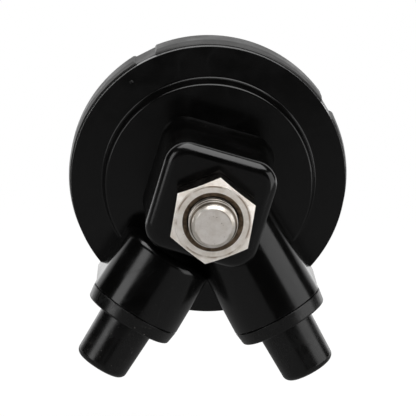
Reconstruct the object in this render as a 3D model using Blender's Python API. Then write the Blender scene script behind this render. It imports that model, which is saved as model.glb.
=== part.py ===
"""Rotary battery switch with a rear mounting stud and two booted cable entries.

Frame, in metres: X to the right and Z up as the switch is seen from behind, -Y out of the stud's tip,
+Y out of the knob. The origin is where the stud's axis meets the face of the rear boss, which is the
face that seats on a bulkhead. Depths are heights above that boss face along +Y.
"""

import math

import bmesh
import bpy
from mathutils import Matrix, Vector

MM = 0.001

# Clearances
GAP = 0.3 * MM                    # between pieces that touch or nearly touch
RUNNING_GAP = 0.3 * MM            # round a piece that turns or slides
OVERSHOOT = 1.0 * MM              # how far a cutter runs past what it cuts

# Rear housing: disc, plateau and boss
DISC_R = 30.0 * MM                # rear face of the disc, at the rim
RIM_FLANGE = 1.9 * MM             # rim left showing behind the cover's skirt
RIM_CHAMFER = 0.2 * MM
RIM_STEP = 1.25 * MM              # the side wall lies this far inside the rim
HOUSING_DEPTH = 7.1 * MM          # rim plane to the housing's front edge
HOUSING_WALL = 1.8 * MM           # side wall under the skirt
FLOOR_THICKNESS = 2.5 * MM        # rear wall of the disc
PLATEAU_INSET = 6.8 * MM          # rim to the plateau's foot
PLATEAU_SLOPE = 1.4 * MM          # the plateau narrows this much to its top
PLATEAU_HEIGHT = 3.0 * MM
PLATEAU_ROUND = 0.7 * MM
BOSS_WIDTH = 23.4 * MM
BOSS_HEIGHT = 22.6 * MM           # above the plateau
BOSS_CORNER_R = 5.0 * MM
BOSS_EDGE_R = 2.2 * MM
BOSS_FLARE = 0.55 * MM            # the boss is this much wider all round at its foot
BOSS_FLARE_HEIGHT = 3.5 * MM
BOSS_OFFSET = 1.3 * MM            # boss centre above the stud, along the boss's own up
CLOCKING = math.radians(15.0)     # boss and notches are turned clockwise, seen from behind

# Cable legs
LEG_ANGLE = math.radians(30.8)    # each leg, from straight down
LEG_TILT = math.radians(7.5)      # each leg leans back with distance, about its terminal
LEG_AXIS_HEIGHT = 9.5 * MM        # leg axis behind the rim plane
LEG_INSET = 0.2 * MM              # the leg's end face lies this far inside the rim
LEG_END_R = 10.3 * MM
LEG_TAPER = math.radians(1.2)     # draft of the leg's side
LEG_END_WALL = 1.7 * MM           # closed end of the left leg, which stops short of the boss
RIGHT_LEG_START = 6.0 * MM        # the right leg runs in under the boss
LEG_ROOT_ROUND = 1.6 * MM
LEG_BORE_R = 7.0 * MM
LEG_WEB_PROUD = 0.05 * MM         # web that joins a leg to the disc, beyond the leg's side
LEG_WEB_INSET = 0.4 * MM          # the web ends this far inside the leg's end face

# Cable boots
BOOT_FLANGE_LENGTH = 2.9 * MM
BOOT_FLANGE_DRAFT = 0.4 * MM      # the flange narrows this much to its outer edge
BOOT_FLANGE_ROUND = 0.5 * MM
BOOT_TUBE_R = 6.2 * MM
BOOT_TUBE_DRAFT = 0.3 * MM        # the tube narrows this much to its tip
BOOT_TUBE_LENGTH = 12.0 * MM
BOOT_TIP_ROUND = 1.5 * MM
BOOT_WALL = 1.7 * MM
BOOT_PLUG_LENGTH = 2.4 * MM

# Mounting stud and nut
STUD_R = 5.0 * MM                 # M10
STUD_REACH = 9.1 * MM             # stud tip beyond the boss face
STUD_CHAMFER = 1.0 * MM
STUD_HEAD_FLATS = 16.0 * MM
STUD_HEAD_THICKNESS = 6.4 * MM
STUD_SEAT_DEPTH = 13.6 * MM       # boss face to the seat under the stud's seal
SEAL_THICKNESS = 0.9 * MM
SEAL_R = 7.4 * MM
NUT_FLATS = 16.0 * MM
NUT_THICKNESS = 5.4 * MM
NUT_CHAMFER = 0.7 * MM
NUT_FACE_INSET = 0.2 * MM         # chamfer circle inside the flats
NUT_TURN = 7.0                    # degrees that a corner lies past the boss's own up
NUT_SINK_R = 5.85 * MM            # countersink at the nut's faces
NUT_SINK_DEPTH = 0.6 * MM

# Front cover
SKIRT_PROUD = 0.65 * MM           # skirt beyond the disc's rim
SKIRT_EDGE_R = 0.5 * MM
COVER_PLATE = 2.5 * MM
COVER_EDGE_R = 1.2 * MM
DRUM_MARGIN = 1.3 * MM            # drum to the screws' heads
DRUM_HEIGHT = 8.4 * MM            # front of the plate to the drum's face
DRUM_WALL = 2.6 * MM
DRUM_FACE = 3.0 * MM
DRUM_EDGE_R = 1.5 * MM
NOTCH_COUNT = 4
NOTCH_WIDTH = 4.5 * MM
GASKET_THICKNESS = 0.5 * MM

# Cover screws
SCREW_ANGLES = tuple(math.radians(a) for a in (35.0, 145.0, 200.0, 340.0))
SCREW_INSET = 5.7 * MM            # rim to the screws' axes
SCREW_R = 1.4 * MM
SCREW_PILOT_R = 1.75 * MM
SCREW_HEAD_R = 2.7 * MM
SCREW_HEAD_THICKNESS = 1.5 * MM
SCREW_LENGTH = 6.6 * MM           # under the head
SCREW_SLOT_REACH = 1.5 * MM       # cross slot, from its middle
SCREW_SLOT_HALF = 0.35 * MM
SCREW_SLOT_DEPTH = 1.0 * MM
PILLAR_R = 3.0 * MM

# Contacts
STRIP_THICKNESS = 1.6 * MM
STRIP_HALF_WIDTH = 3.4 * MM
TIP_R = 2.6 * MM
TIP_THICKNESS = 0.8 * MM
TERMINAL_INSET = 6.8 * MM         # rim to the terminal screw
BLOCK_WIDTH = 8.6 * MM
BLOCK_LENGTH = 6.4 * MM
CONDUCTOR_R = 3.0 * MM
TERMINAL_SCREW_R = 2.0 * MM
TERMINAL_HEAD_R = 3.2 * MM
TERMINAL_HEAD_THICKNESS = 2.0 * MM
TERMINAL_SCREW_LENGTH = 6.0 * MM
TERMINAL_SOCKET_FLATS = 3.0 * MM
SOCKET_DEPTH = 1.2 * MM
WASHER_THICKNESS = 0.6 * MM
WASHER_SPLIT = 0.6 * MM
BRIDGE_THICKNESS = 2.0 * MM
BRIDGE_INSET = 2.6 * MM           # rotor's edge to the bridge's end
BRIDGE_HALF_WIDTH = 3.4 * MM

# Rotor, spindle, bush and detent
SPINDLE_R = 2.5 * MM
SPINDLE_FLAT = 0.6 * MM           # depth of the flat that drives the rotor and knob
INSULATOR_R = 12.4 * MM
INSULATOR_THICKNESS = 1.2 * MM
JOURNAL_DEPTH = 1.6 * MM          # spindle's rear end beyond the insulator plate
ROTOR_MARGIN = 1.4 * MM           # rotor to the drum's wall
ROTOR_DISC = 3.0 * MM
ROTOR_HUB_R = 8.0 * MM
LUG_THICKNESS = 2.0 * MM
LUG_INNER = 5.0 * MM
LUG_OUTER = 9.0 * MM
SPRING_WIRE_R = 0.45 * MM
CONTACT_SPRING_R = 4.2 * MM
CONTACT_SPRING_LENGTH = 4.2 * MM
CONTACT_SPRING_TURNS = 3
BUSH_FLANGE_R = 6.5 * MM
BUSH_FLANGE = 1.4 * MM
BUSH_WALL = 1.8 * MM
O_RING_MINOR_R = 0.85 * MM
DETENT_INSET = 2.8 * MM           # rotor's edge to the plunger's axis
DETENT_ANGLE = math.radians(45.0)
PLUNGER_R = 1.8 * MM
PLUNGER_LENGTH = 4.8 * MM
COLLAR_WALL = 1.3 * MM
COLLAR_HEIGHT = 2.4 * MM
DETENT_SPRING_R = 1.3 * MM
DETENT_SPRING_WIRE_R = 0.25 * MM
DETENT_SPRING_LENGTH = 3.0 * MM
DETENT_SPRING_TURNS = 4
DIMPLE_DEPTH = 0.4 * MM

# Knob
KNOB_INSET = 1.4 * MM             # the knob is this much smaller than the drum
KNOB_DISC = 5.0 * MM
KNOB_EDGE_R = 1.4 * MM
KNOB_GAP = 0.8 * MM               # knob to the drum's face
GRIP_WIDTH = 10.0 * MM
GRIP_HEIGHT = 12.0 * MM           # above the knob's disc
GRIP_INSET = 1.2 * MM             # the grip ends this far inside the knob's edge
GRIP_EDGE_R = 1.6 * MM
KNOB_SCREW_R = 1.5 * MM
KNOB_SCREW_HEAD_R = 2.8 * MM
KNOB_SCREW_HEAD = 1.8 * MM
KNOB_SCREW_LENGTH = 8.0 * MM
KNOB_SOCKET_FLATS = 2.5 * MM
KNOB_SEAT_DEPTH = 5.4 * MM        # top of the grip to the floor of the screw's well
KNOB_WEB = 1.8 * MM               # knob left between the screw's well and the spindle's end
CAP_R = 3.6 * MM
CAP_THICKNESS = 1.4 * MM
POINTER_WIDTH = 2.2 * MM
POINTER_INSET = 2.6 * MM          # grip's end to the pointer's
POINTER_DEPTH = 1.2 * MM
POINTER_PROUD = 0.2 * MM
POINTER_MARGIN = 1.9 * MM         # screw well to the pointer

# Facets and shading
SHARP_ANGLE = math.radians(35.0)
FINE = 60
MEDIUM = 36
COARSE = 24
TINY = 16

# Levels along +Y, each from the one before it
Y_BOSS = 0.0
Y_PLATEAU = Y_BOSS + BOSS_HEIGHT
Y_RIM = Y_PLATEAU + PLATEAU_HEIGHT
Y_FLOOR = Y_RIM + FLOOR_THICKNESS
Y_HOUSING_FRONT = Y_RIM + HOUSING_DEPTH
Y_COVER_INNER = Y_HOUSING_FRONT + GASKET_THICKNESS + 2.0 * GAP
Y_COVER_FRONT = Y_COVER_INNER + COVER_PLATE
Y_DRUM_FRONT = Y_COVER_FRONT + DRUM_HEIGHT
Y_DRUM_INNER = Y_DRUM_FRONT - DRUM_FACE
Y_STRIP_REAR = Y_FLOOR + GAP
Y_STRIP_FRONT = Y_STRIP_REAR + STRIP_THICKNESS
Y_TIP = Y_STRIP_FRONT + TIP_THICKNESS
Y_BRIDGE_REAR = Y_TIP + GAP
Y_BRIDGE_FRONT = Y_BRIDGE_REAR + BRIDGE_THICKNESS
Y_ROTOR_REAR = Y_BRIDGE_FRONT + GAP
Y_ROTOR_FRONT = Y_ROTOR_REAR + ROTOR_DISC
Y_BUSH_FLANGE = Y_DRUM_INNER - GAP - BUSH_FLANGE
Y_HUB_FRONT = Y_BUSH_FLANGE - RUNNING_GAP
Y_LEG_AXIS = Y_RIM - LEG_AXIS_HEIGHT
Y_KNOB_REAR = Y_DRUM_FRONT + KNOB_GAP
Y_KNOB_DISC = Y_KNOB_REAR + KNOB_DISC
Y_GRIP_TOP = Y_KNOB_DISC + GRIP_HEIGHT
Y_KNOB_SEAT = Y_GRIP_TOP - KNOB_SEAT_DEPTH
Y_KNOB_WEB = Y_KNOB_SEAT - KNOB_WEB
Y_KNOB_SCREW_HEAD = Y_KNOB_SEAT + WASHER_THICKNESS + 2.0 * GAP
Y_KNOB_SCREW_END = Y_KNOB_SCREW_HEAD - KNOB_SCREW_LENGTH
Y_INSULATOR = Y_FLOOR - INSULATOR_THICKNESS

# Sizes that follow
PLATEAU_BASE_R = DISC_R - PLATEAU_INSET
PLATEAU_TOP_R = PLATEAU_BASE_R - PLATEAU_SLOPE
TERMINAL_REACH = DISC_R - TERMINAL_INSET
LEG_SEAM = DISC_R - LEG_INSET
LEG_BORE_END = TERMINAL_REACH - BLOCK_LENGTH / 2.0 - GAP
LEFT_LEG_START = LEG_BORE_END - LEG_END_WALL
LEG_WEB_START = LEFT_LEG_START + LEG_ROOT_ROUND / 2.0
LEG_WEB_END = LEG_SEAM - LEG_WEB_INSET
SCREW_CIRCLE_R = DISC_R - SCREW_INSET
DRUM_R = SCREW_CIRCLE_R - SCREW_HEAD_R - GAP - DRUM_MARGIN
ROTOR_R = DRUM_R - DRUM_WALL - ROTOR_MARGIN
BRIDGE_REACH = ROTOR_R - BRIDGE_INSET
CONTACT_X = BRIDGE_REACH - TIP_R - GAP
DETENT_CIRCLE_R = ROTOR_R - DETENT_INSET
KNOB_R = DRUM_R - KNOB_INSET
GRIP_REACH = KNOB_R - GRIP_INSET
POINTER_START = CAP_R + GAP + POINTER_MARGIN
POINTER_LENGTH = GRIP_REACH - POINTER_INSET - POINTER_START
SKIRT_R = DISC_R + SKIRT_PROUD
WALL_OUTER_R = DISC_R - RIM_STEP
CAVITY_R = WALL_OUTER_R - HOUSING_WALL
SKIRT_INNER_R = WALL_OUTER_R + GAP
ROTOR_BORE_R = SPINDLE_R + GAP
Y_SKIRT_REAR = Y_RIM + RIM_FLANGE + GAP
BOSS_UP = 90.0 - math.degrees(CLOCKING)


# ---------------------------------------------------------------- materials

def make_material(name, colour, roughness, metallic):
    """Return a Principled material with the given base colour, roughness and metallic value."""
    material = bpy.data.materials.new(name)
    material.use_nodes = True
    shader = material.node_tree.nodes["Principled BSDF"]
    shader.inputs["Base Color"].default_value = (*colour, 1.0)
    shader.inputs["Roughness"].default_value = roughness
    shader.inputs["Metallic"].default_value = metallic
    return material


FINISHES = {
    "black_plastic": ((0.012, 0.012, 0.013), 0.22, 0.0),
    "rubber": ((0.010, 0.010, 0.011), 0.34, 0.0),
    "stainless": ((0.62, 0.60, 0.57), 0.28, 1.0),
    "spring_steel": ((0.42, 0.42, 0.43), 0.35, 1.0),
    "brass": ((0.72, 0.52, 0.24), 0.30, 1.0),
    "copper": ((0.80, 0.44, 0.30), 0.30, 1.0),
    "red_plastic": ((0.52, 0.020, 0.018), 0.30, 0.0),
    "white_plastic": ((0.80, 0.80, 0.78), 0.40, 0.0),
    "insulator": ((0.20, 0.085, 0.035), 0.50, 0.0),
}


# ---------------------------------------------------------------- mesh tools

def clear_scene():
    """Remove every object of the open scene."""
    for obj in list(bpy.data.objects):
        bpy.data.objects.remove(obj, do_unlink=True)


def close_mesh(bm):
    """Merge doubled points, drop slivers and turn every face outwards."""
    bmesh.ops.remove_doubles(bm, verts=bm.verts, dist=1e-6)
    bmesh.ops.dissolve_degenerate(bm, edges=bm.edges, dist=1e-7)
    bmesh.ops.recalc_face_normals(bm, faces=bm.faces)


def make_object(name, bm, smooth=True):
    """Turn a bmesh into a linked object, shaded smooth except at sharp edges."""
    close_mesh(bm)
    mesh = bpy.data.meshes.new(name)
    bm.to_mesh(mesh)
    bm.free()
    if smooth:
        mesh.shade_smooth()
        mesh.set_sharp_from_angle(angle=SHARP_ANGLE)
    obj = bpy.data.objects.new(name, mesh)
    bpy.context.scene.collection.objects.link(obj)
    return obj


def finish(obj, finish_name, parent=None):
    """Give a piece its material and, if it moves, its parent on the joint's axis."""
    material = make_material(obj.name + "_" + finish_name, *FINISHES[finish_name])
    obj.data.materials.clear()
    obj.data.materials.append(material)
    if parent is not None:
        obj.parent = parent
        obj.matrix_parent_inverse = parent.matrix_world.inverted()
    return obj


def arc(centre_r, centre_y, radius, start, end, steps):
    """Return points (r, y) on an arc; angles in degrees, 0 along +r and 90 along +Y."""
    points = []
    for step in range(steps + 1):
        angle = math.radians(start + (end - start) * step / steps)
        points.append((centre_r + radius * math.cos(angle), centre_y + radius * math.sin(angle)))
    return points


def turned(name, profile, segments, smooth=True):
    """Spin a closed profile of (r, y) points about the Y axis.

    A profile whose ends lie at r = 0 gives a solid body; one that never touches the axis gives a ring.
    """
    bm = bmesh.new()
    verts = [bm.verts.new((r, y, 0.0)) for r, y in profile]
    edges = [bm.edges.new(pair) for pair in zip(verts, verts[1:])]
    if profile[0][0] > 0.0 or profile[-1][0] > 0.0:
        edges.append(bm.edges.new((verts[-1], verts[0])))
    bmesh.ops.spin(
        bm, geom=verts + edges, cent=(0.0, 0.0, 0.0), axis=(0.0, 1.0, 0.0),
        angle=2.0 * math.pi, steps=segments, use_merge=True, use_duplicate=False,
    )
    return make_object(name, bm, smooth)


def cylinder(name, radius, y_rear, y_front, segments):
    """Return a plain solid cylinder about the Y axis."""
    return turned(name, [(0.0, y_rear), (radius, y_rear), (radius, y_front), (0.0, y_front)], segments)


def prism(name, outline, y_rear, y_front, smooth=True):
    """Extrude an outline of (x, z) points from y_rear to y_front."""
    bm = bmesh.new()
    face = bm.faces.new([bm.verts.new((x, y_rear, z)) for x, z in outline])
    moved = bmesh.ops.extrude_face_region(bm, geom=[face])["geom"]
    verts = [item for item in moved if isinstance(item, bmesh.types.BMVert)]
    bmesh.ops.translate(bm, verts=verts, vec=(0.0, y_front - y_rear, 0.0))
    return make_object(name, bm, smooth)


def rounded_square(half_width, corner_r, steps=6):
    """Return the outline of a square with rounded corners, centred on the origin."""
    points = []
    inset = half_width - corner_r
    for corner in range(4):
        angle = math.radians(45.0 + 90.0 * corner)
        cx = math.copysign(inset, math.cos(angle))
        cz = math.copysign(inset, math.sin(angle))
        start = 90.0 * corner
        points += arc(cx, cz, corner_r, start, start + 90.0, steps)
    return points


def rectangle(half_x, half_z):
    """Return the outline of a rectangle centred on the origin."""
    return [(half_x, -half_z), (half_x, half_z), (-half_x, half_z), (-half_x, -half_z)]


def capsule(start, end, radius, steps=8):
    """Return the outline of a bar with round ends between two (x, z) points."""
    heading = math.degrees(math.atan2(end[1] - start[1], end[0] - start[0]))
    first = arc(end[0], end[1], radius, heading - 90.0, heading + 90.0, steps)
    second = arc(start[0], start[1], radius, heading + 90.0, heading + 270.0, steps)
    return first + second


def hexagon(across_flats, turn=0.0):
    """Return the outline of a hexagon with one corner at the given angle in degrees."""
    corner_r = across_flats / math.sqrt(3.0)
    return arc(0.0, 0.0, corner_r, turn, turn + 300.0, 5)


def loft(name, sections):
    """Join outlines at rising heights into one closed solid.

    Args:
        name: the object's name.
        sections: (y, outline) pairs whose outlines have the same number of points.
    """
    bm = bmesh.new()
    rings = [[bm.verts.new((x, y, z)) for x, z in outline] for y, outline in sections]
    for lower, upper in zip(rings, rings[1:]):
        for index in range(len(lower)):
            after = (index + 1) % len(lower)
            bm.faces.new((lower[index], lower[after], upper[after], upper[index]))
    bm.faces.new(rings[0])
    bm.faces.new(rings[-1])
    return make_object(name, bm)


def transform(obj, matrix):
    """Apply a placement to a piece's mesh."""
    obj.data.transform(matrix)
    return obj


def turn_y(angle):
    """Return a turn about +Y; seen from behind, a positive angle is clockwise."""
    return Matrix.Rotation(angle, 4, "Y")


def at(x, z):
    """Return a move across the rear face."""
    return Matrix.Translation(Vector((x, 0.0, z)))


def polar(radius, angle):
    """Return (x, z) at an angle measured from +X towards +Z."""
    return radius * math.cos(angle), radius * math.sin(angle)


def combine(obj, other, operation):
    """Union, cut or intersect a piece with another, which is used up, and clean the result."""
    modifier = obj.modifiers.new(operation, "BOOLEAN")
    modifier.operation = operation
    modifier.solver = "EXACT"
    modifier.object = other
    graph = bpy.context.evaluated_depsgraph_get()
    mesh = bpy.data.meshes.new_from_object(obj.evaluated_get(graph))
    obj.modifiers.clear()
    obj.data = mesh
    bpy.data.objects.remove(other, do_unlink=True)
    bm = bmesh.new()
    bm.from_mesh(mesh)
    bmesh.ops.remove_doubles(bm, verts=bm.verts, dist=2e-6)
    bmesh.ops.dissolve_degenerate(bm, edges=bm.edges, dist=1e-6)
    bm.to_mesh(mesh)
    bm.free()
    mesh.shade_smooth()
    mesh.set_sharp_from_angle(angle=SHARP_ANGLE)
    return obj


def fuse(obj, *others):
    """Join pieces into one solid."""
    for other in others:
        combine(obj, other, "UNION")
    return obj


def cut(obj, *tools):
    """Cut tools out of a piece."""
    for tool in tools:
        combine(obj, tool, "DIFFERENCE")
    return obj


def coil(name, radius, wire_r, length, turns, y_start):
    """Return a closed coil spring about the Y axis with flat wire ends."""
    points_per_turn = 10
    sides = 5
    steps = turns * points_per_turn
    rise = (length - 2.0 * wire_r) / steps
    bm = bmesh.new()
    rings = []
    for step in range(steps + 1):
        angle = 2.0 * math.pi * step / points_per_turn
        outward = Vector((math.cos(angle), 0.0, math.sin(angle)))
        centre = outward * radius + Vector((0.0, y_start + wire_r + rise * step, 0.0))
        ring = []
        for side in range(sides):
            turn = 2.0 * math.pi * side / sides
            offset = outward * math.cos(turn) + Vector((0.0, math.sin(turn), 0.0))
            ring.append(bm.verts.new(centre + offset * wire_r))
        rings.append(ring)
    for first, second in zip(rings, rings[1:]):
        for side in range(sides):
            after = (side + 1) % sides
            bm.faces.new((first[side], first[after], second[after], second[side]))
    bm.faces.new(rings[0])
    bm.faces.new(rings[-1])
    return make_object(name, bm)


# ---------------------------------------------------------------- placements

def boss_placement():
    """Return the boss's own frame: offset up, then turned with the clocking."""
    return turn_y(CLOCKING) @ at(0.0, BOSS_OFFSET)


def leg_placement(side):
    """Return the frame whose +Y is a leg's axis, measured outwards from the stud's axis.

    Args:
        side: -1 for the left leg and +1 for the right one.
    """
    down = Matrix.Rotation(math.radians(-90.0) - LEG_TILT, 4, "X")
    pivot = Matrix.Translation(Vector((0.0, Y_LEG_AXIS, -TERMINAL_REACH)))
    back = Matrix.Translation(Vector((0.0, -TERMINAL_REACH, 0.0)))
    return turn_y(-side * LEG_ANGLE) @ pivot @ down @ back


def terminal_point(side):
    """Return (x, z) of a terminal screw."""
    return side * TERMINAL_REACH * math.sin(LEG_ANGLE), -TERMINAL_REACH * math.cos(LEG_ANGLE)


# ---------------------------------------------------------------- rear housing

def housing_disc():
    """Return the disc with its plateau, rim flange and side wall, still solid."""
    slope = math.degrees(math.atan2(PLATEAU_SLOPE, PLATEAU_HEIGHT - PLATEAU_ROUND))
    round_top = arc(PLATEAU_TOP_R - PLATEAU_ROUND, Y_PLATEAU + PLATEAU_ROUND, PLATEAU_ROUND, -90.0, -slope, 3)
    profile = [(0.0, Y_PLATEAU)] + round_top + [
        (PLATEAU_BASE_R, Y_RIM),
        (DISC_R - RIM_CHAMFER, Y_RIM),
        (DISC_R, Y_RIM + RIM_CHAMFER),
        (DISC_R, Y_RIM + RIM_FLANGE),
        (WALL_OUTER_R, Y_RIM + RIM_FLANGE),
        (WALL_OUTER_R, Y_HOUSING_FRONT),
        (0.0, Y_HOUSING_FRONT),
    ]
    return turned("rear_housing", profile, FINE)


def boss_solid():
    """Return the rounded square boss, with a flared foot and a rounded face edge."""
    half = BOSS_WIDTH / 2.0
    sections = [
        (Y_PLATEAU + FLOOR_THICKNESS / 2.0, rounded_square(half + BOSS_FLARE, BOSS_CORNER_R + BOSS_FLARE)),
        (Y_PLATEAU, rounded_square(half + BOSS_FLARE, BOSS_CORNER_R + BOSS_FLARE)),
        (Y_PLATEAU - BOSS_FLARE_HEIGHT, rounded_square(half, BOSS_CORNER_R)),
    ]
    for inset, height in arc(0.0, 0.0, BOSS_EDGE_R, 0.0, 90.0, 4):
        shrink = BOSS_EDGE_R - inset
        outline = rounded_square(half - shrink, BOSS_CORNER_R - shrink)
        sections.append((Y_BOSS + BOSS_EDGE_R - height, outline))
    return transform(loft("boss", sections), boss_placement())


def leg_radius(reach):
    """Return a leg's radius at a distance from the stud's axis."""
    return LEG_END_R - (LEG_SEAM - reach) * math.tan(LEG_TAPER)


def leg_solid(side, start):
    """Return one tapered cable leg from its root to its end face."""
    root_r = leg_radius(start)
    profile = [(0.0, start)]
    profile += arc(root_r - LEG_ROOT_ROUND, start + LEG_ROOT_ROUND, LEG_ROOT_ROUND, -90.0, 0.0, 3)
    profile += [(LEG_END_R, LEG_SEAM), (0.0, LEG_SEAM)]
    return transform(turned("leg", profile, MEDIUM), leg_placement(side))


def leg_web(side):
    """Return the web between a leg and the disc, whose walls run down from the leg's sides."""
    start_half = leg_radius(LEG_WEB_START) + LEG_WEB_PROUD
    end_half = leg_radius(LEG_WEB_END) + LEG_WEB_PROUD
    outline = [
        (start_half, -LEG_WEB_START), (-start_half, -LEG_WEB_START),
        (-end_half, -LEG_WEB_END), (end_half, -LEG_WEB_END),
    ]
    web = prism("web", outline, Y_LEG_AXIS, Y_RIM + FLOOR_THICKNESS / 2.0, False)
    return transform(web, turn_y(-side * LEG_ANGLE))


def leg_bore(side):
    """Return the cutter for a leg's cable bore."""
    tool = cylinder("bore", LEG_BORE_R, LEG_BORE_END, LEG_SEAM + LEG_END_R, COARSE)
    return transform(tool, leg_placement(side))


def block_window(side):
    """Return the cutter that lets a terminal block in from the front, through the floor."""
    x, z = terminal_point(side)
    outline = rectangle(BLOCK_WIDTH / 2.0 + GAP, BLOCK_LENGTH / 2.0 + GAP)
    tool = prism("window", outline, Y_LEG_AXIS, Y_FLOOR + FLOOR_THICKNESS)
    return transform(tool, at(x, z) @ turn_y(-side * LEG_ANGLE))


def make_rear_housing():
    """Model the one-piece rear housing: disc, plateau, boss and both cable legs."""
    housing = housing_disc()
    cavity = cylinder("cavity", CAVITY_R, Y_FLOOR, Y_HOUSING_FRONT + HOUSING_DEPTH, FINE)
    cut(housing, cavity)
    for angle in SCREW_ANGLES:
        x, z = polar(SCREW_CIRCLE_R, angle)
        pillar = cylinder("pillar", PILLAR_R, Y_FLOOR - FLOOR_THICKNESS / 2.0, Y_HOUSING_FRONT - GAP, COARSE)
        fuse(housing, transform(pillar, at(x, z)))
    detent_x, detent_z = polar(DETENT_CIRCLE_R, DETENT_ANGLE)
    collar_r = PLUNGER_R + RUNNING_GAP + COLLAR_WALL
    collar = cylinder("collar", collar_r, Y_FLOOR - FLOOR_THICKNESS / 2.0, Y_FLOOR + COLLAR_HEIGHT, COARSE)
    fuse(housing, transform(collar, at(detent_x, detent_z)))
    fuse(housing, boss_solid(), leg_solid(1, RIGHT_LEG_START), leg_solid(-1, LEFT_LEG_START))
    fuse(housing, leg_web(1), leg_web(-1))

    pocket_flats = STUD_HEAD_FLATS + 2.0 * GAP
    tools = [
        cylinder("insulator_seat", INSULATOR_R + GAP, Y_INSULATOR - GAP, Y_FLOOR + FLOOR_THICKNESS, MEDIUM),
        prism("head_pocket", hexagon(pocket_flats, BOSS_UP), Y_BOSS + STUD_SEAT_DEPTH, Y_FLOOR, False),
        cylinder("stud_hole", STUD_R + GAP, Y_BOSS - BOSS_HEIGHT, Y_FLOOR, COARSE),
        transform(
            cylinder("plunger_hole", PLUNGER_R + RUNNING_GAP, detent_pocket_end(), Y_ROTOR_REAR, TINY),
            at(detent_x, detent_z),
        ),
    ]
    for angle in SCREW_ANGLES:
        x, z = polar(SCREW_CIRCLE_R, angle)
        pilot_end = Y_COVER_FRONT - SCREW_HEAD_THICKNESS - SCREW_LENGTH - 2.0 * GAP
        pilot = cylinder("pilot", SCREW_PILOT_R, pilot_end, Y_COVER_FRONT, TINY)
        tools.append(transform(pilot, at(x, z)))
    for side in (-1, 1):
        tools.append(leg_bore(side))
        tools.append(block_window(side))
    cut(housing, *tools)
    finish(housing, "black_plastic")


def detent_pocket_end():
    """Return the depth of the closed end of the detent's pocket."""
    return Y_ROTOR_REAR - GAP - PLUNGER_LENGTH - GAP - DETENT_SPRING_LENGTH - GAP


# ---------------------------------------------------------------- stud, nut and boots

def make_mounting_stud():
    """Model the stud: a hexagon head in the boss's pocket and a chamfered shank."""
    head_rear = Y_BOSS + STUD_SEAT_DEPTH + SEAL_THICKNESS + 2.0 * GAP
    stud = prism("mounting_stud", hexagon(STUD_HEAD_FLATS, BOSS_UP), head_rear, head_rear + STUD_HEAD_THICKNESS, False)
    shank = turned(
        "shank",
        [
            (0.0, Y_BOSS - STUD_REACH),
            (STUD_R - STUD_CHAMFER, Y_BOSS - STUD_REACH),
            (STUD_R, Y_BOSS - STUD_REACH + STUD_CHAMFER),
            (STUD_R, head_rear + STUD_HEAD_THICKNESS / 2.0),
            (0.0, head_rear + STUD_HEAD_THICKNESS / 2.0),
        ],
        COARSE,
    )
    finish(fuse(stud, shank), "stainless")


def make_stud_seal():
    """Model the rubber washer under the stud's head."""
    rear = Y_BOSS + STUD_SEAT_DEPTH + GAP
    front = rear + SEAL_THICKNESS
    inner = STUD_R + GAP
    seal = turned("stud_seal", [(inner, rear), (SEAL_R, rear), (SEAL_R, front), (inner, front)], COARSE)
    finish(seal, "rubber")


def make_hex_nut():
    """Model the chamfered, countersunk nut that clamps the bulkhead."""
    front = Y_BOSS - GAP
    rear = front - NUT_THICKNESS
    nut = prism("hex_nut", hexagon(NUT_FLATS, BOSS_UP + NUT_TURN), rear, front, False)
    corner_r = NUT_FLATS / math.sqrt(3.0)
    face_r = NUT_FLATS / 2.0 - NUT_FACE_INSET
    slope = NUT_CHAMFER / (corner_r - face_r)
    outer_r = corner_r + OVERSHOOT
    rounding = turned(
        "rounding",
        [
            (0.0, rear),
            (face_r, rear),
            (outer_r, rear + slope * (outer_r - face_r)),
            (outer_r, front - slope * (outer_r - face_r)),
            (face_r, front),
            (0.0, front),
        ],
        MEDIUM,
    )
    combine(nut, rounding, "INTERSECT")
    bore_r = STUD_R + GAP
    bore = turned(
        "nut_bore",
        [
            (0.0, rear - OVERSHOOT),
            (NUT_SINK_R + OVERSHOOT, rear - OVERSHOOT),
            (NUT_SINK_R, rear),
            (bore_r, rear + NUT_SINK_DEPTH),
            (bore_r, front - NUT_SINK_DEPTH),
            (NUT_SINK_R, front),
            (NUT_SINK_R + OVERSHOOT, front + OVERSHOOT),
            (0.0, front + OVERSHOOT),
        ],
        COARSE,
    )
    finish(cut(nut, bore), "stainless")


def make_boot(name, side):
    """Model a rubber boot: plug in the leg, flange on its end and a closed cable tube."""
    seat = LEG_SEAM + GAP
    plug_r = LEG_BORE_R - GAP
    flange_end = seat + BOOT_FLANGE_LENGTH
    tip = flange_end + BOOT_TUBE_LENGTH
    bore_r = BOOT_TUBE_R - BOOT_WALL
    plug_start = LEG_SEAM - BOOT_PLUG_LENGTH
    profile = [(0.0, tip - BOOT_WALL), (bore_r, tip - BOOT_WALL), (bore_r, flange_end)]
    profile += [(plug_r - BOOT_WALL, seat), (plug_r - BOOT_WALL, plug_start), (plug_r, plug_start)]
    profile += [(plug_r, seat), (LEG_END_R, seat)]
    flange_edge_r = LEG_END_R - BOOT_FLANGE_DRAFT - BOOT_FLANGE_ROUND
    profile += arc(flange_edge_r, flange_end - BOOT_FLANGE_ROUND, BOOT_FLANGE_ROUND, 0.0, 90.0, 2)
    profile += [(BOOT_TUBE_R, flange_end)]
    tip_edge_r = BOOT_TUBE_R - BOOT_TUBE_DRAFT - BOOT_TIP_ROUND
    profile += arc(tip_edge_r, tip - BOOT_TIP_ROUND, BOOT_TIP_ROUND, 0.0, 90.0, 4)
    profile += [(0.0, tip)]
    boot = transform(turned(name, profile, MEDIUM), leg_placement(side))
    finish(boot, "rubber")


# ---------------------------------------------------------------- front cover

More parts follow.
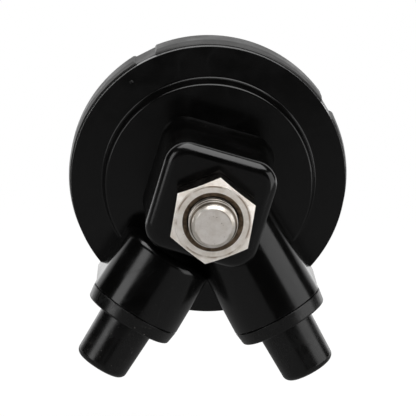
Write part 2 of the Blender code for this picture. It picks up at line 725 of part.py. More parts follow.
def make_front_cover():
    """Model the front cover: notched skirt, plate and the drum that holds the rotor."""
    skirt_edge = arc(SKIRT_R - SKIRT_EDGE_R, Y_SKIRT_REAR + SKIRT_EDGE_R, SKIRT_EDGE_R, -90.0, 0.0, 2)
    plate_edge = arc(SKIRT_R - COVER_EDGE_R, Y_COVER_FRONT - COVER_EDGE_R, COVER_EDGE_R, 0.0, 90.0, 3)
    drum_edge = arc(DRUM_R - DRUM_EDGE_R, Y_DRUM_FRONT - DRUM_EDGE_R, DRUM_EDGE_R, 0.0, 90.0, 3)
    drum_inner_r = DRUM_R - DRUM_WALL
    profile = [(SKIRT_INNER_R, Y_SKIRT_REAR)] + skirt_edge + plate_edge
    profile += [(DRUM_R, Y_COVER_FRONT)] + drum_edge
    profile += [
        (o_ring_seat_r(), Y_DRUM_FRONT),
        (o_ring_seat_r(), o_ring_seat_y()),
        (bush_bore_r(), o_ring_seat_y()),
        (bush_bore_r(), Y_DRUM_INNER),
        (drum_inner_r, Y_DRUM_INNER),
        (drum_inner_r, Y_COVER_INNER),
        (SKIRT_INNER_R, Y_COVER_INNER),
    ]
    cover = turned("front_cover", profile, FINE)
    tools = []
    for index in range(NOTCH_COUNT):
        angle = CLOCKING + math.radians(45.0 + 90.0 * index)
        outline = rectangle(NOTCH_WIDTH / 2.0, SKIRT_PROUD)
        tool = prism("notch", outline, Y_RIM, Y_COVER_FRONT - COVER_EDGE_R)
        tools.append(transform(tool, turn_y(angle) @ at(0.0, SKIRT_R)))
    for angle in SCREW_ANGLES:
        x, z = polar(SCREW_CIRCLE_R, angle)
        hole = turned(
            "screw_hole",
            [
                (0.0, Y_COVER_INNER - GAP),
                (SCREW_R + GAP, Y_COVER_INNER - GAP),
                (SCREW_R + GAP, Y_COVER_FRONT - SCREW_HEAD_THICKNESS - GAP),
                (SCREW_HEAD_R + GAP, Y_COVER_FRONT - SCREW_HEAD_THICKNESS - GAP),
                (SCREW_HEAD_R + GAP, Y_COVER_FRONT + COVER_PLATE),
                (0.0, Y_COVER_FRONT + COVER_PLATE),
            ],
            TINY,
        )
        tools.append(transform(hole, at(x, z)))
    cut(cover, *tools)
    finish(cover, "black_plastic")


def bush_bore_r():
    """Return the radius of the hole in the drum's face that takes the bush."""
    return SPINDLE_R + RUNNING_GAP + BUSH_WALL + GAP


def o_ring_seat_r():
    """Return the radius of the spindle seal's seat in the drum's face."""
    return SPINDLE_R + 2.0 * O_RING_MINOR_R + 2.0 * GAP


def o_ring_seat_y():
    """Return the depth of the spindle seal's seat in the drum's face."""
    return Y_DRUM_FRONT - 2.0 * O_RING_MINOR_R - 2.0 * GAP


def make_cover_gasket():
    """Model the flat gasket between the housing's edge and the cover."""
    rear = Y_HOUSING_FRONT + GAP
    front = rear + GASKET_THICKNESS
    inner = CAVITY_R + GAP
    outer = WALL_OUTER_R - GAP
    gasket = turned("cover_gasket", [(inner, rear), (outer, rear), (outer, front), (inner, front)], FINE)
    finish(gasket, "rubber")


def make_cover_screws():
    """Model the cross-slotted cover screws, numbered round the cover."""
    head_rear = Y_COVER_FRONT - SCREW_HEAD_THICKNESS
    slot_rear = Y_COVER_FRONT - SCREW_SLOT_DEPTH
    for number, angle in enumerate(SCREW_ANGLES, start=1):
        screw = turned(
            "cover_screw_" + str(number),
            [
                (0.0, head_rear - SCREW_LENGTH),
                (SCREW_R, head_rear - SCREW_LENGTH),
                (SCREW_R, head_rear),
                (SCREW_HEAD_R, head_rear),
                (SCREW_HEAD_R, Y_COVER_FRONT - GAP),
                (0.0, Y_COVER_FRONT - GAP),
            ],
            TINY,
        )
        for half_x, half_z in ((SCREW_SLOT_REACH, SCREW_SLOT_HALF), (SCREW_SLOT_HALF, SCREW_SLOT_REACH)):
            cut(screw, prism("slot", rectangle(half_x, half_z), slot_rear, Y_COVER_FRONT + GAP, False))
        x, z = polar(SCREW_CIRCLE_R, angle)
        finish(transform(screw, at(x, z)), "stainless")


# ---------------------------------------------------------------- contacts

def make_fixed_contact(name, side):
    """Model one fixed contact: a strip from its raised tip to the terminal screw."""
    x, z = terminal_point(side)
    tip_x = side * CONTACT_X
    outline = capsule((tip_x, 0.0), (x, z), STRIP_HALF_WIDTH)
    strip = prism(name, outline, Y_STRIP_REAR, Y_STRIP_FRONT)
    tip = cylinder("tip", TIP_R, Y_STRIP_REAR + STRIP_THICKNESS / 2.0, Y_TIP, COARSE)
    fuse(strip, transform(tip, at(tip_x, 0.0)))
    hole = cylinder("hole", TERMINAL_SCREW_R + GAP, Y_FLOOR, Y_TIP + STRIP_THICKNESS, TINY)
    cut(strip, transform(hole, at(x, z)))
    finish(strip, "copper")


def make_terminal_block(name, side):
    """Model the brass block in a leg, bored for the conductor and tapped for its screw."""
    x, z = terminal_point(side)
    outline = rectangle(BLOCK_WIDTH / 2.0, BLOCK_LENGTH / 2.0)
    block = prism(name, outline, Y_LEG_AXIS - BLOCK_WIDTH / 2.0, Y_FLOOR, False)
    screw_end = Y_STRIP_FRONT + GAP - TERMINAL_SCREW_LENGTH
    tapped = cylinder("tapped", TERMINAL_SCREW_R + GAP, screw_end - GAP, Y_FLOOR + STRIP_THICKNESS, TINY)
    cut(block, tapped)
    transform(block, at(x, z) @ turn_y(-side * LEG_ANGLE))
    conductor = cylinder("conductor", CONDUCTOR_R, LEG_BORE_END - BLOCK_LENGTH, LEG_SEAM, TINY)
    cut(block, transform(conductor, leg_placement(side)))
    finish(block, "brass")


def make_terminal_screw(name, side):
    """Model the screw that fixes a contact strip to its terminal block."""
    x, z = terminal_point(side)
    head_rear = Y_STRIP_FRONT + WASHER_THICKNESS + 2.0 * GAP
    head_front = head_rear + TERMINAL_HEAD_THICKNESS
    end = Y_STRIP_FRONT + GAP - TERMINAL_SCREW_LENGTH
    screw = turned(
        name,
        [
            (0.0, end),
            (TERMINAL_SCREW_R, end),
            (TERMINAL_SCREW_R, head_rear),
            (TERMINAL_HEAD_R, head_rear),
            (TERMINAL_HEAD_R, head_front),
            (0.0, head_front),
        ],
        TINY,
    )
    socket_flats = hexagon(TERMINAL_SOCKET_FLATS)
    socket = prism("socket", socket_flats, head_front - SOCKET_DEPTH, head_front + OVERSHOOT, False)
    cut(screw, socket)
    finish(transform(screw, at(x, z)), "stainless")


def make_lock_washer(name, side):
    """Model the split lock washer under a terminal screw's head."""
    x, z = terminal_point(side)
    rear = Y_STRIP_FRONT + GAP
    front = rear + WASHER_THICKNESS
    inner = TERMINAL_SCREW_R + GAP
    outer = TERMINAL_HEAD_R
    washer = turned(name, [(inner, rear), (outer, rear), (outer, front), (inner, front)], TINY)
    split_outline = rectangle(WASHER_SPLIT / 2.0, TERMINAL_HEAD_R)
    split = prism("split", split_outline, rear - OVERSHOOT, front + OVERSHOOT, False)
    cut(washer, transform(split, at(0.0, TERMINAL_HEAD_R)))
    finish(transform(washer, at(x, z)), "spring_steel")


def make_insulator_plate():
    """Model the plate that covers the stud's head and carries the spindle's rear journal."""
    rear = Y_INSULATOR
    front = Y_FLOOR
    inner = SPINDLE_R + RUNNING_GAP
    plate = turned(
        "insulator_plate",
        [(inner, rear), (INSULATOR_R, rear), (INSULATOR_R, front), (inner, front)],
        MEDIUM,
    )
    detent_x, detent_z = polar(DETENT_CIRCLE_R, DETENT_ANGLE)
    clearance_r = PLUNGER_R + RUNNING_GAP + COLLAR_WALL + GAP
    relief = cylinder("relief", clearance_r, rear - OVERSHOOT, front + OVERSHOOT, TINY)
    cut(plate, transform(relief, at(detent_x, detent_z)))
    finish(plate, "insulator")


# ---------------------------------------------------------------- rotor group

def d_section(radius, flat_depth, y_rear, y_front):
    """Return a round bar with a flat along its top side."""
    bar = cylinder("bar", radius, y_rear, y_front, COARSE)
    outline = rectangle(2.0 * radius, radius)
    tool = prism("flat", outline, y_rear - OVERSHOOT, y_front + OVERSHOOT, False)
    return cut(bar, transform(tool, at(0.0, 2.0 * radius - flat_depth)))


def make_spindle(parent):
    """Model the spindle from its rear journal to the knob, with driving flats."""
    rear = Y_INSULATOR - JOURNAL_DEPTH
    spindle = cylinder("spindle", SPINDLE_R, rear, Y_KNOB_WEB - GAP, COARSE)
    for y_rear, y_front in ((Y_ROTOR_REAR, Y_HUB_FRONT), (Y_KNOB_REAR, Y_KNOB_WEB)):
        outline = rectangle(2.0 * SPINDLE_R, SPINDLE_R)
        tool = prism("flat", outline, y_rear, y_front, False)
        cut(spindle, transform(tool, at(0.0, 2.0 * SPINDLE_R - SPINDLE_FLAT)))
    tapped = cylinder("tapped", KNOB_SCREW_R + GAP, Y_KNOB_SCREW_END - GAP, Y_KNOB_WEB, TINY)
    cut(spindle, tapped)
    finish(spindle, "brass", parent)


def make_rotor(parent):
    """Model the rotor: disc, hub, drive lugs, spring pocket and detent dimples."""
    hub_rear = Y_ROTOR_REAR + ROTOR_DISC / 2.0
    rotor = turned(
        "rotor",
        [
            (0.0, Y_ROTOR_REAR),
            (ROTOR_R, Y_ROTOR_REAR),
            (ROTOR_R, Y_ROTOR_FRONT),
            (ROTOR_HUB_R, Y_ROTOR_FRONT),
            (ROTOR_HUB_R, Y_HUB_FRONT),
            (0.0, Y_HUB_FRONT),
        ],
        MEDIUM,
    )
    lug_x = BRIDGE_HALF_WIDTH + GAP + LUG_THICKNESS / 2.0
    lug_z = (LUG_INNER + LUG_OUTER) / 2.0
    lug_outline = rectangle(LUG_THICKNESS / 2.0, (LUG_OUTER - LUG_INNER) / 2.0)
    for x in (-lug_x, lug_x):
        for z in (-lug_z, lug_z):
            lug = prism("lug", lug_outline, Y_BRIDGE_REAR + GAP, hub_rear, False)
            fuse(rotor, transform(lug, at(x, z)))
    spring_pocket = cylinder(
        "spring_pocket",
        CONTACT_SPRING_R + SPRING_WIRE_R + GAP,
        Y_BRIDGE_FRONT,
        Y_ROTOR_REAR + CONTACT_SPRING_LENGTH + GAP,
        COARSE,
    )
    bore = d_section(ROTOR_BORE_R, SPINDLE_FLAT, Y_BRIDGE_FRONT, Y_HUB_FRONT + OVERSHOOT)
    tools = [spring_pocket, bore]
    dimple_r = PLUNGER_R
    for angle in (DETENT_ANGLE, DETENT_ANGLE - math.radians(90.0)):
        x, z = polar(DETENT_CIRCLE_R, angle)
        points = arc(0.0, Y_ROTOR_REAR - dimple_r + DIMPLE_DEPTH, dimple_r, -90.0, 90.0, 8)
        dimple = turned("dimple", [(0.0, points[0][1])] + points[1:-1] + [(0.0, points[-1][1])], TINY)
        tools.append(transform(dimple, at(x, z)))
    cut(rotor, *tools)
    finish(rotor, "insulator", parent)


def make_contact_bridge(parent):
    """Model the bar that joins the two fixed contacts when the switch is on."""
    outline = capsule(
        (0.0, -BRIDGE_REACH + BRIDGE_HALF_WIDTH), (0.0, BRIDGE_REACH - BRIDGE_HALF_WIDTH), BRIDGE_HALF_WIDTH,
    )
    bridge = prism("contact_bridge", outline, Y_BRIDGE_REAR, Y_BRIDGE_FRONT)
    hole = cylinder("hole", ROTOR_BORE_R, Y_BRIDGE_REAR - OVERSHOOT, Y_BRIDGE_FRONT + OVERSHOOT, COARSE)
    finish(cut(bridge, hole), "copper", parent)


def make_contact_spring(parent):
    """Model the coil spring that presses the bridge on the contacts."""
    spring = coil(
        "contact_spring", CONTACT_SPRING_R, SPRING_WIRE_R, CONTACT_SPRING_LENGTH - GAP,
        CONTACT_SPRING_TURNS, Y_BRIDGE_FRONT + GAP,
    )
    finish(spring, "spring_steel", parent)


def make_spindle_bush():
    """Model the flanged bush that carries the spindle in the drum's face."""
    inner = SPINDLE_R + RUNNING_GAP
    outer = bush_bore_r() - GAP
    flange_front = Y_BUSH_FLANGE + BUSH_FLANGE
    front = o_ring_seat_y() - GAP
    bush = turned(
        "spindle_bush",
        [
            (inner, Y_BUSH_FLANGE),
            (BUSH_FLANGE_R, Y_BUSH_FLANGE),
            (BUSH_FLANGE_R, flange_front),
            (outer, flange_front),
            (outer, front),
            (inner, front),
        ],
        COARSE,
    )
    finish(bush, "brass")


def make_spindle_seal():
    """Model the O-ring round the spindle in the drum's face."""
    centre_r = SPINDLE_R + GAP + O_RING_MINOR_R
    centre_y = o_ring_seat_y() + GAP + O_RING_MINOR_R
    profile = arc(centre_r, centre_y, O_RING_MINOR_R, 0.0, 315.0, 7)
    finish(turned("spindle_seal", profile, COARSE), "rubber")


def make_detent(parent):
    """Model the detent plunger, which slides on its parent's axis, and its spring."""
    tip = Y_ROTOR_REAR - GAP
    rear = tip - PLUNGER_LENGTH
    dome = arc(0.0, tip - PLUNGER_R, PLUNGER_R, 0.0, 90.0, 4)
    plunger = turned("detent_plunger", [(0.0, rear), (PLUNGER_R, rear)] + dome[:-1] + [(0.0, tip)], TINY)
    x, z = polar(DETENT_CIRCLE_R, DETENT_ANGLE)
    finish(transform(plunger, at(x, z)), "brass", parent)
    spring = coil(
        "detent_spring", DETENT_SPRING_R, DETENT_SPRING_WIRE_R, DETENT_SPRING_LENGTH,
        DETENT_SPRING_TURNS, detent_pocket_end() + GAP,
    )
    finish(transform(spring, at(x, z)), "spring_steel")


# ---------------------------------------------------------------- knob

def make_knob(parent):
    """Model the knob: a disc with a raised grip bar, a screw well and a pointer recess."""
    edge = arc(KNOB_R - KNOB_EDGE_R, Y_KNOB_DISC - KNOB_EDGE_R, KNOB_EDGE_R, 0.0, 90.0, 3)
    knob = turned("knob", [(0.0, Y_KNOB_REAR), (KNOB_R, Y_KNOB_REAR)] + edge + [(0.0, Y_KNOB_DISC)], MEDIUM)
    sections = [(Y_KNOB_DISC - KNOB_DISC / 2.0, grip_outline(0.0))]
    for inset, height in arc(0.0, 0.0, GRIP_EDGE_R, 0.0, 90.0, 3):
        shrink = GRIP_EDGE_R - inset
        sections.append((Y_GRIP_TOP - GRIP_EDGE_R + height, grip_outline(shrink)))
    fuse(knob, loft("grip", sections))
    tools = [
        d_section(ROTOR_BORE_R, SPINDLE_FLAT, Y_KNOB_REAR - OVERSHOOT, Y_KNOB_WEB),
        cylinder("screw_hole", KNOB_SCREW_R + GAP, Y_KNOB_REAR, Y_GRIP_TOP, TINY),
        cylinder("screw_well", CAP_R + GAP, Y_KNOB_SEAT, Y_GRIP_TOP + OVERSHOOT, COARSE),
    ]
    pointer_tool = prism(
        "pointer_recess", rectangle(POINTER_LENGTH / 2.0 + GAP, POINTER_WIDTH / 2.0 + GAP),
        Y_GRIP_TOP - POINTER_DEPTH - GAP, Y_GRIP_TOP + OVERSHOOT, False,
    )
    tools.append(transform(pointer_tool, at(pointer_x(), 0.0)))
    cut(knob, *tools)
    finish(knob, "red_plastic", parent)


def grip_outline(shrink):
    """Return the grip bar's outline, pulled in by a margin."""
    radius = GRIP_WIDTH / 2.0 - shrink
    reach = GRIP_REACH - GRIP_WIDTH / 2.0
    return capsule((-reach, 0.0), (reach, 0.0), radius)


def pointer_x():
    """Return where the pointer's middle lies along the grip, clear of the screw's well."""
    return POINTER_START + POINTER_LENGTH / 2.0


def make_knob_pointer(parent):
    """Model the index bar inlaid in the grip."""
    rear = Y_GRIP_TOP - POINTER_DEPTH
    pointer = prism(
        "knob_pointer", rectangle(POINTER_LENGTH / 2.0, POINTER_WIDTH / 2.0),
        rear, Y_GRIP_TOP + POINTER_PROUD, False,
    )
    finish(transform(pointer, at(pointer_x(), 0.0)), "white_plastic", parent)


def make_knob_screw(parent):
    """Model the screw that holds the knob on the spindle, and its washer."""
    head_rear = Y_KNOB_SCREW_HEAD
    head_front = head_rear + KNOB_SCREW_HEAD
    screw = turned(
        "knob_screw",
        [
            (0.0, Y_KNOB_SCREW_END),
            (KNOB_SCREW_R, Y_KNOB_SCREW_END),
            (KNOB_SCREW_R, head_rear),
            (KNOB_SCREW_HEAD_R, head_rear),
            (KNOB_SCREW_HEAD_R, head_front),
            (0.0, head_front),
        ],
        TINY,
    )
    socket_flats = hexagon(KNOB_SOCKET_FLATS)
    socket = prism("socket", socket_flats, head_front - SOCKET_DEPTH, head_front + OVERSHOOT, False)
    finish(cut(screw, socket), "stainless", parent)
    inner = KNOB_SCREW_R + GAP
    rear = Y_KNOB_SEAT + GAP
    washer_front = rear + WASHER_THICKNESS
    washer = turned(
        "knob_washer",
        [(inner, rear), (CAP_R - GAP, rear), (CAP_R - GAP, washer_front), (inner, washer_front)],
        TINY,
    )
    finish(washer, "stainless", parent)


def make_knob_cap(parent):
    """Model the cap that closes the knob's screw well."""
    front = Y_GRIP_TOP
    rear = front - CAP_THICKNESS
    cap = turned(
        "knob_cap",
        [(0.0, rear), (CAP_R, rear), (CAP_R, front - GAP), (CAP_R - GAP, front), (0.0, front)],
        COARSE,
    )
    finish(cap, "black_plastic", parent)


# ---------------------------------------------------------------- assembly

def joint_empty(name, x, z):
    """Return an empty on a joint's axis."""
    empty = bpy.data.objects.new(name, None)
    empty.location = (x, Y_ROTOR_REAR, z)
    bpy.context.scene.collection.objects.link(empty)
    bpy.context.view_layer.update()
    return empty


def main():
    """Build every piece of the switch."""
    clear_scene()
    make_rear_housing()
    make_mounting_stud()
    make_stud_seal()
    make_hex_nut()
    make_front_cover()
    make_cover_gasket()
    make_cover_screws()
    make_insulator_plate()
    for label, side in (("left", -1), ("right", 1)):
        make_boot("cable_boot_" + label, side)
        make_fixed_contact("fixed_contact_" + label, side)
        make_terminal_block("terminal_block_" + label, side)
        make_terminal_screw("terminal_screw_" + label, side)
        make_lock_washer("lock_washer_" + label, side)
    make_spindle_bush()
    make_spindle_seal()
    spindle_axis = joint_empty("spindle_axis", 0.0, 0.0)
    make_spindle(spindle_axis)
    make_rotor(spindle_axis)
    make_contact_bridge(spindle_axis)
    make_contact_spring(spindle_axis)
    make_knob(spindle_axis)
    make_knob_pointer(spindle_axis)
    make_knob_screw(spindle_axis)
    make_knob_cap(spindle_axis)
    detent_x, detent_z = polar(DETENT_CIRCLE_R, DETENT_ANGLE)
    make_detent(joint_empty("detent_axis", detent_x, detent_z))


main()
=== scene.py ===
"""Visual model of a rotary battery switch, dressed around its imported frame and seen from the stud's side.

The frame is in metres: -Y out of the mounting stud's tip, +Y out of the knob and +Z up. The origin is
where the stud's axis meets the face of the rear boss. Each sub-assembly is a class of its own, after the
classes for shapes and finishes.
"""

import logging
import math
from dataclasses import dataclass, replace
from enum import Enum, IntEnum
from typing import Callable, Iterable, Sequence

import bmesh
import bpy
from mathutils import Matrix, Vector


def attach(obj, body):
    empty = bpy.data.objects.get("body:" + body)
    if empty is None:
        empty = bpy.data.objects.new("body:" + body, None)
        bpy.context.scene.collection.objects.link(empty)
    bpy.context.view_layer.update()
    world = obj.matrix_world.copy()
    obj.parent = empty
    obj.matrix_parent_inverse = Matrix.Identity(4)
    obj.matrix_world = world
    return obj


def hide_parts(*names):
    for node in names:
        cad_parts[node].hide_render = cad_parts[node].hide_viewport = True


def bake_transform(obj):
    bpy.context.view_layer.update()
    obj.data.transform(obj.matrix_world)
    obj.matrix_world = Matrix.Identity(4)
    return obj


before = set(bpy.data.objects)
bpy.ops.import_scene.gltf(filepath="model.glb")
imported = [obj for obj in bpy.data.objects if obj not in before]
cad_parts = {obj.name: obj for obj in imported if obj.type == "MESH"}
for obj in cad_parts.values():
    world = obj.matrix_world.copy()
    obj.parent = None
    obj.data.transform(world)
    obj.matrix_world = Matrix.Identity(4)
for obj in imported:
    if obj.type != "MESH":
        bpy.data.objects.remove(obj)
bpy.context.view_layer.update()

MM = 0.001
FULL_TURN = math.tau
TURN_STEPS = 160                  # facets round a large turned shape
LEG_STEPS = 128                   # facets round a leg or a boot
SMALL_STEPS = 96                  # facets round a bore, a tube or the stud
SCREW_STEPS = 48                  # facets round a small screw
CORNER_STEPS = 12                 # facets across the rounded corner of a block
HEX_SIDES = 6
ROUND_STEP = 11.0                 # degrees that one facet of a turned round spans
LEAST_ROUND_STEPS = 3
SOFT_STEPS = 2                    # facets across the fine bevel that softens an edge
SHARP_ANGLE = math.radians(32.0)
SHADING_WEIGHT = 60               # how far large faces lead the shading of small ones
MERGE = 2e-6                      # points closer than this are one
GAP = 0.3 * MM                    # between pieces that touch
OVERSHOOT = 1.0 * MM              # how far a cutter runs past what it cuts
AXIS = Vector((0.0, 1.0, 0.0))    # the stud's axis, towards the knob
ALONG_AXIS = Matrix.Rotation(math.pi / 2.0, 4, "X")    # turns +Z to -Y

log = logging.getLogger("battery_switch")
Colour = tuple[float, float, float]
Direction = tuple[float, float, float]
Point = tuple[float, float]
Span = tuple[float, float]        # where a value begins to change, and where it has changed


class Body(Enum):
    """A CAD body that a piece rides on."""

    ROOT = "root"
    KNOB = "knob_group"
    DETENT = "detent"


class Side(IntEnum):
    """A side of the switch, seen from behind, by its sign along X."""

    LEFT = -1
    RIGHT = 1


class Slot(Enum):
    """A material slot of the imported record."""

    BLACK_PLASTIC = "black_plastic"
    BOOT_RUBBER = "boot_rubber"
    STAINLESS = "stainless"
    SPRING_STEEL = "spring_steel"
    RED_PLASTIC = "red_plastic"
    WHITE_PLASTIC = "white_plastic"


# ---------------------------------------------------------------- shapes

def new_object(name: str, data: bpy.types.ID) -> bpy.types.Object:
    """Add an object to the scene.

    Args:
        name: its name.
        data: its mesh, curve, light or camera.

    Returns:
        The object, linked to the scene.
    """
    obj = bpy.data.objects.new(name, data)
    bpy.context.scene.collection.objects.link(obj)
    return obj


@dataclass(frozen=True)
class Corner:
    """One corner of a turned profile, with the radius of its round."""

    r: float
    y: float
    round: float = 0.0


class Solid:
    """A closed shape under construction, made with bmesh operators, unions and cuts."""

    def __init__(self, mesh: bmesh.types.BMesh) -> None:
        """Hold a bmesh.

        Args:
            mesh: the closed shape to start from.
        """
        self.mesh = mesh

    @staticmethod
    def turned(corners: Sequence[Corner], steps: int = TURN_STEPS) -> "Solid":
        """Turn a profile round the Y axis.

        Args:
            corners: the profile; it is closed on itself where it doesn't end on the axis.
            steps: facets round the axis.

        Returns:
            The turned solid.
        """
        mesh = bmesh.new()
        hollow = corners[0].r > 0.0 and corners[-1].r > 0.0
        points = Solid._line(mesh, [(corner.r, corner.y) for corner in corners], hollow)
        turns = [Solid._turn_at(corners, index) for index in range(len(corners))]
        for point, corner, turn in zip(points, corners, turns):
            if corner.round > 0.0:
                facets = max(LEAST_ROUND_STEPS, round(math.degrees(turn) / ROUND_STEP))
                Solid._bevel(mesh, [point], corner.round * math.tan(turn / 2.0), facets, "VERTICES")
        Solid._spin(mesh, FULL_TURN, steps, merge=True)
        return Solid(mesh).tidy()

    @staticmethod
    def _line(mesh: bmesh.types.BMesh, points: Sequence[Point], closed: bool) -> list[bmesh.types.BMVert]:
        """Draw a line of edges.

        Args:
            mesh: the mesh that it is drawn in.
            points: its corners, each an (r, y).
            closed: whether the last corner is joined to the first.

        Returns:
            The corners' vertices.
        """
        corners = [mesh.verts.new((r, y, 0.0)) for r, y in points]
        pairs = list(zip(corners, corners[1:]))
        if closed:
            pairs.append((corners[-1], corners[0]))
        for pair in pairs:
            mesh.edges.new(pair)
        return corners

    @staticmethod
    def _spin(
        mesh: bmesh.types.BMesh, angle: float, steps: int, climb: float = 0.0, merge: bool = False,
    ) -> None:
        """Sweep everything in a mesh about the Y axis.

        Args:
            mesh: the mesh that is swept.
            angle: the whole sweep.
            steps: facets along it.
            climb: how far each step moves along Y.
            merge: whether the end of a full turn is joined to its start.
        """
        bmesh.ops.spin(
            mesh, geom=mesh.verts[:] + mesh.edges[:], cent=(0, 0, 0), axis=AXIS, dvec=AXIS * climb,
            angle=angle, steps=steps, use_merge=merge, use_normal_flip=False, use_duplicate=False,
        )

    @staticmethod
    def _bevel(mesh: bmesh.types.BMesh, geometry: list, width: float, segments: int, affect: str) -> None:
        """Round corners or edges of a mesh.

        Args:
            mesh: the mesh that holds them.
            geometry: the vertices or edges.
            width: distance from each to where its round begins.
            segments: facets across a round.
            affect: VERTICES or EDGES.
        """
        bmesh.ops.bevel(
            mesh, geom=geometry, offset=width, offset_type="OFFSET", segments=segments, profile=0.5,
            affect=affect, clamp_overlap=affect == "EDGES", material=-1,
        )

    @staticmethod
    def _turn_at(corners: Sequence[Corner], index: int) -> float:
        """Measure the angle that a profile turns through at a corner.

        Args:
            corners: the profile.
            index: the corner's place in it.

        Returns:
            The angle, or 0 where the corner lies on a neighbour.
        """
        here = corners[index]
        before = corners[index - 1]
        after = corners[(index + 1) % len(corners)]
        arriving = Vector((here.r - before.r, here.y - before.y))
        leaving = Vector((after.r - here.r, after.y - here.y))
        if arriving.length < MERGE or leaving.length < MERGE:
            return 0.0
        return arriving.angle(leaving)

    @staticmethod
    def rod(
        radius: float, rear: float, front: float, steps: int = SMALL_STEPS, turn: float = 0.0,
    ) -> "Solid":
        """Make a cylinder or a prism along Y.

        Args:
            radius: radius of its corners.
            rear: lower end along Y.
            front: upper end along Y.
            steps: number of sides.
            turn: angle of one corner from +X towards +Z.

        Returns:
            The solid.
        """
        mesh = bmesh.new()
        place = Matrix.Translation((0.0, (rear + front) / 2.0, 0.0)) @ ALONG_AXIS
        bmesh.ops.create_cone(
            mesh, cap_ends=True, cap_tris=False, segments=steps, radius1=radius, radius2=radius,
            depth=front - rear, matrix=place @ Matrix.Rotation(turn - math.pi / 2.0, 4, "Z"),
        )
        return Solid(mesh).tidy()

    @staticmethod
    def block(width: float, height: float, rear: float, front: float, corner: float = 0.0) -> "Solid":
        """Make a block on the Y axis with its edges along Y rounded.

        Args:
            width: size along X.
            height: size along Z.
            rear: lower end along Y.
            front: upper end along Y.
            corner: radius of the four edges along Y.

        Returns:
            The solid.
        """
        mesh = bmesh.new()
        bmesh.ops.create_cube(mesh, size=1.0)
        bmesh.ops.scale(mesh, vec=(width, front - rear, height), verts=mesh.verts)
        bmesh.ops.translate(mesh, vec=(0.0, (rear + front) / 2.0, 0.0), verts=mesh.verts)
        solid = Solid(mesh)
        if corner > 0.0:
            half = (front - rear) / 2.0
            solid.round(lambda e: abs((e.verts[0].co - e.verts[1].co).y) > half, corner, CORNER_STEPS)
        return solid

    @staticmethod
    def coil(outline: Sequence[Point], pitch: float, turns: float, steps: int) -> "Solid":
        """Sweep a closed outline of (r, y) points along a helix that climbs along +Y.

        Args:
            outline: the section's corners.
            pitch: the climb of one turn.
            turns: the number of turns.
            steps: facets to a turn.

        Returns:
            The solid.
        """
        mesh = bmesh.new()
        Solid._line(mesh, outline, closed=True)
        Solid._spin(mesh, FULL_TURN * turns, round(steps * turns), climb=pitch / steps)
        bmesh.ops.holes_fill(mesh, edges=mesh.edges[:], sides=0)
        return Solid(mesh).tidy()

    def weld(self) -> "Solid":
        """Merge doubles and drop what has no area, and return the same shape."""
        bmesh.ops.remove_doubles(self.mesh, verts=self.mesh.verts, dist=MERGE)
        bmesh.ops.dissolve_degenerate(self.mesh, edges=self.mesh.edges, dist=MERGE / 2.0)
        return self

    def tidy(self) -> "Solid":
        """Merge doubles and point every face outwards, and return the same shape."""
        self.weld()
        bmesh.ops.recalc_face_normals(self.mesh, faces=self.mesh.faces)
        return self

    def place(self, matrix: Matrix) -> "Solid":
        """Apply a placement to the shape and return it."""
        bmesh.ops.transform(self.mesh, matrix=matrix, verts=self.mesh.verts)
        return self

    def round(self, chosen: Callable[[bmesh.types.BMEdge], bool], radius: float, segments: int) -> "Solid":
        """Round the edges that a test picks.

        Args:
            chosen: function of an edge that says whether it is rounded.
            radius: radius of the round.
            segments: facets across it.

        Returns:
            The same shape.
        """
        self._bevel(self.mesh, [e for e in self.mesh.edges if chosen(e)], radius, segments, "EDGES")
        return self

    def bisect(self, point: Vector, normal: Vector, clear: bool = False) -> list[bmesh.types.BMEdge]:
        """Add the edges where a plane crosses the shape.

        Args:
            point: a point on the plane.
            normal: the plane's direction.
            clear: whether what lies beyond the plane goes.

        Returns:
            The edges on the plane.
        """
        everything = self.mesh.verts[:] + self.mesh.edges[:] + self.mesh.faces[:]
        cut = bmesh.ops.bisect_plane(
            self.mesh, geom=everything, plane_co=point, plane_no=normal, clear_outer=clear,
        )
        return [part for part in cut["geom_cut"] if isinstance(part, bmesh.types.BMEdge)]

    def slice(self, point: Vector, normal: Vector) -> "Solid":
        """Cut away what lies beyond a plane and close the cut.

        Args:
            point: a point on the plane.
            normal: direction of the side that goes.

        Returns:
            The same shape.
        """
        edges = self.bisect(point, normal, clear=True)
        bmesh.ops.contextual_create(self.mesh, geom=edges)
        return self.tidy()

    def join(self, *others: "Solid") -> "Solid":
        """Union this shape with others, one after another."""
        return self._combine("UNION", others)

    def cut(self, *others: "Solid") -> "Solid":
        """Cut others out of this shape, one after another."""
        return self._combine("DIFFERENCE", others)

    def keep(self, other: "Solid") -> "Solid":
        """Keep only what this shape shares with another."""
        return self._combine("INTERSECT", [other])

    def _combine(self, operation: str, others: Iterable["Solid"]) -> "Solid":
        """Run one exact Boolean after another on the shape.

        Args:
            operation: UNION, DIFFERENCE or INTERSECT.
            others: the shapes to run it with, which are used up.

        Returns:
            The same shape.
        """
        target = self._object("target")
        tools = [other._object("tool") for other in others]
        for tool in tools:
            modifier = target.modifiers.new(operation, "BOOLEAN")
            modifier.operation = operation
            modifier.solver = "EXACT"
            modifier.object = tool
        graph = bpy.context.evaluated_depsgraph_get()
        result = bpy.data.meshes.new_from_object(target.evaluated_get(graph))
        self.mesh = bmesh.new()
        self.mesh.from_mesh(result)
        for obj in [target, *tools]:
            bpy.data.objects.remove(obj, do_unlink=True)
        bpy.data.meshes.remove(result)
        return self.weld()

    def _object(self, name: str) -> bpy.types.Object:
        """Turn the shape into an object, which uses it up.

        Args:
            name: the object's name.

        Returns:
            The object.
        """
        data = bpy.data.meshes.new(name)
        self.mesh.to_mesh(data)
        self.mesh.free()
        return new_object(name, data)

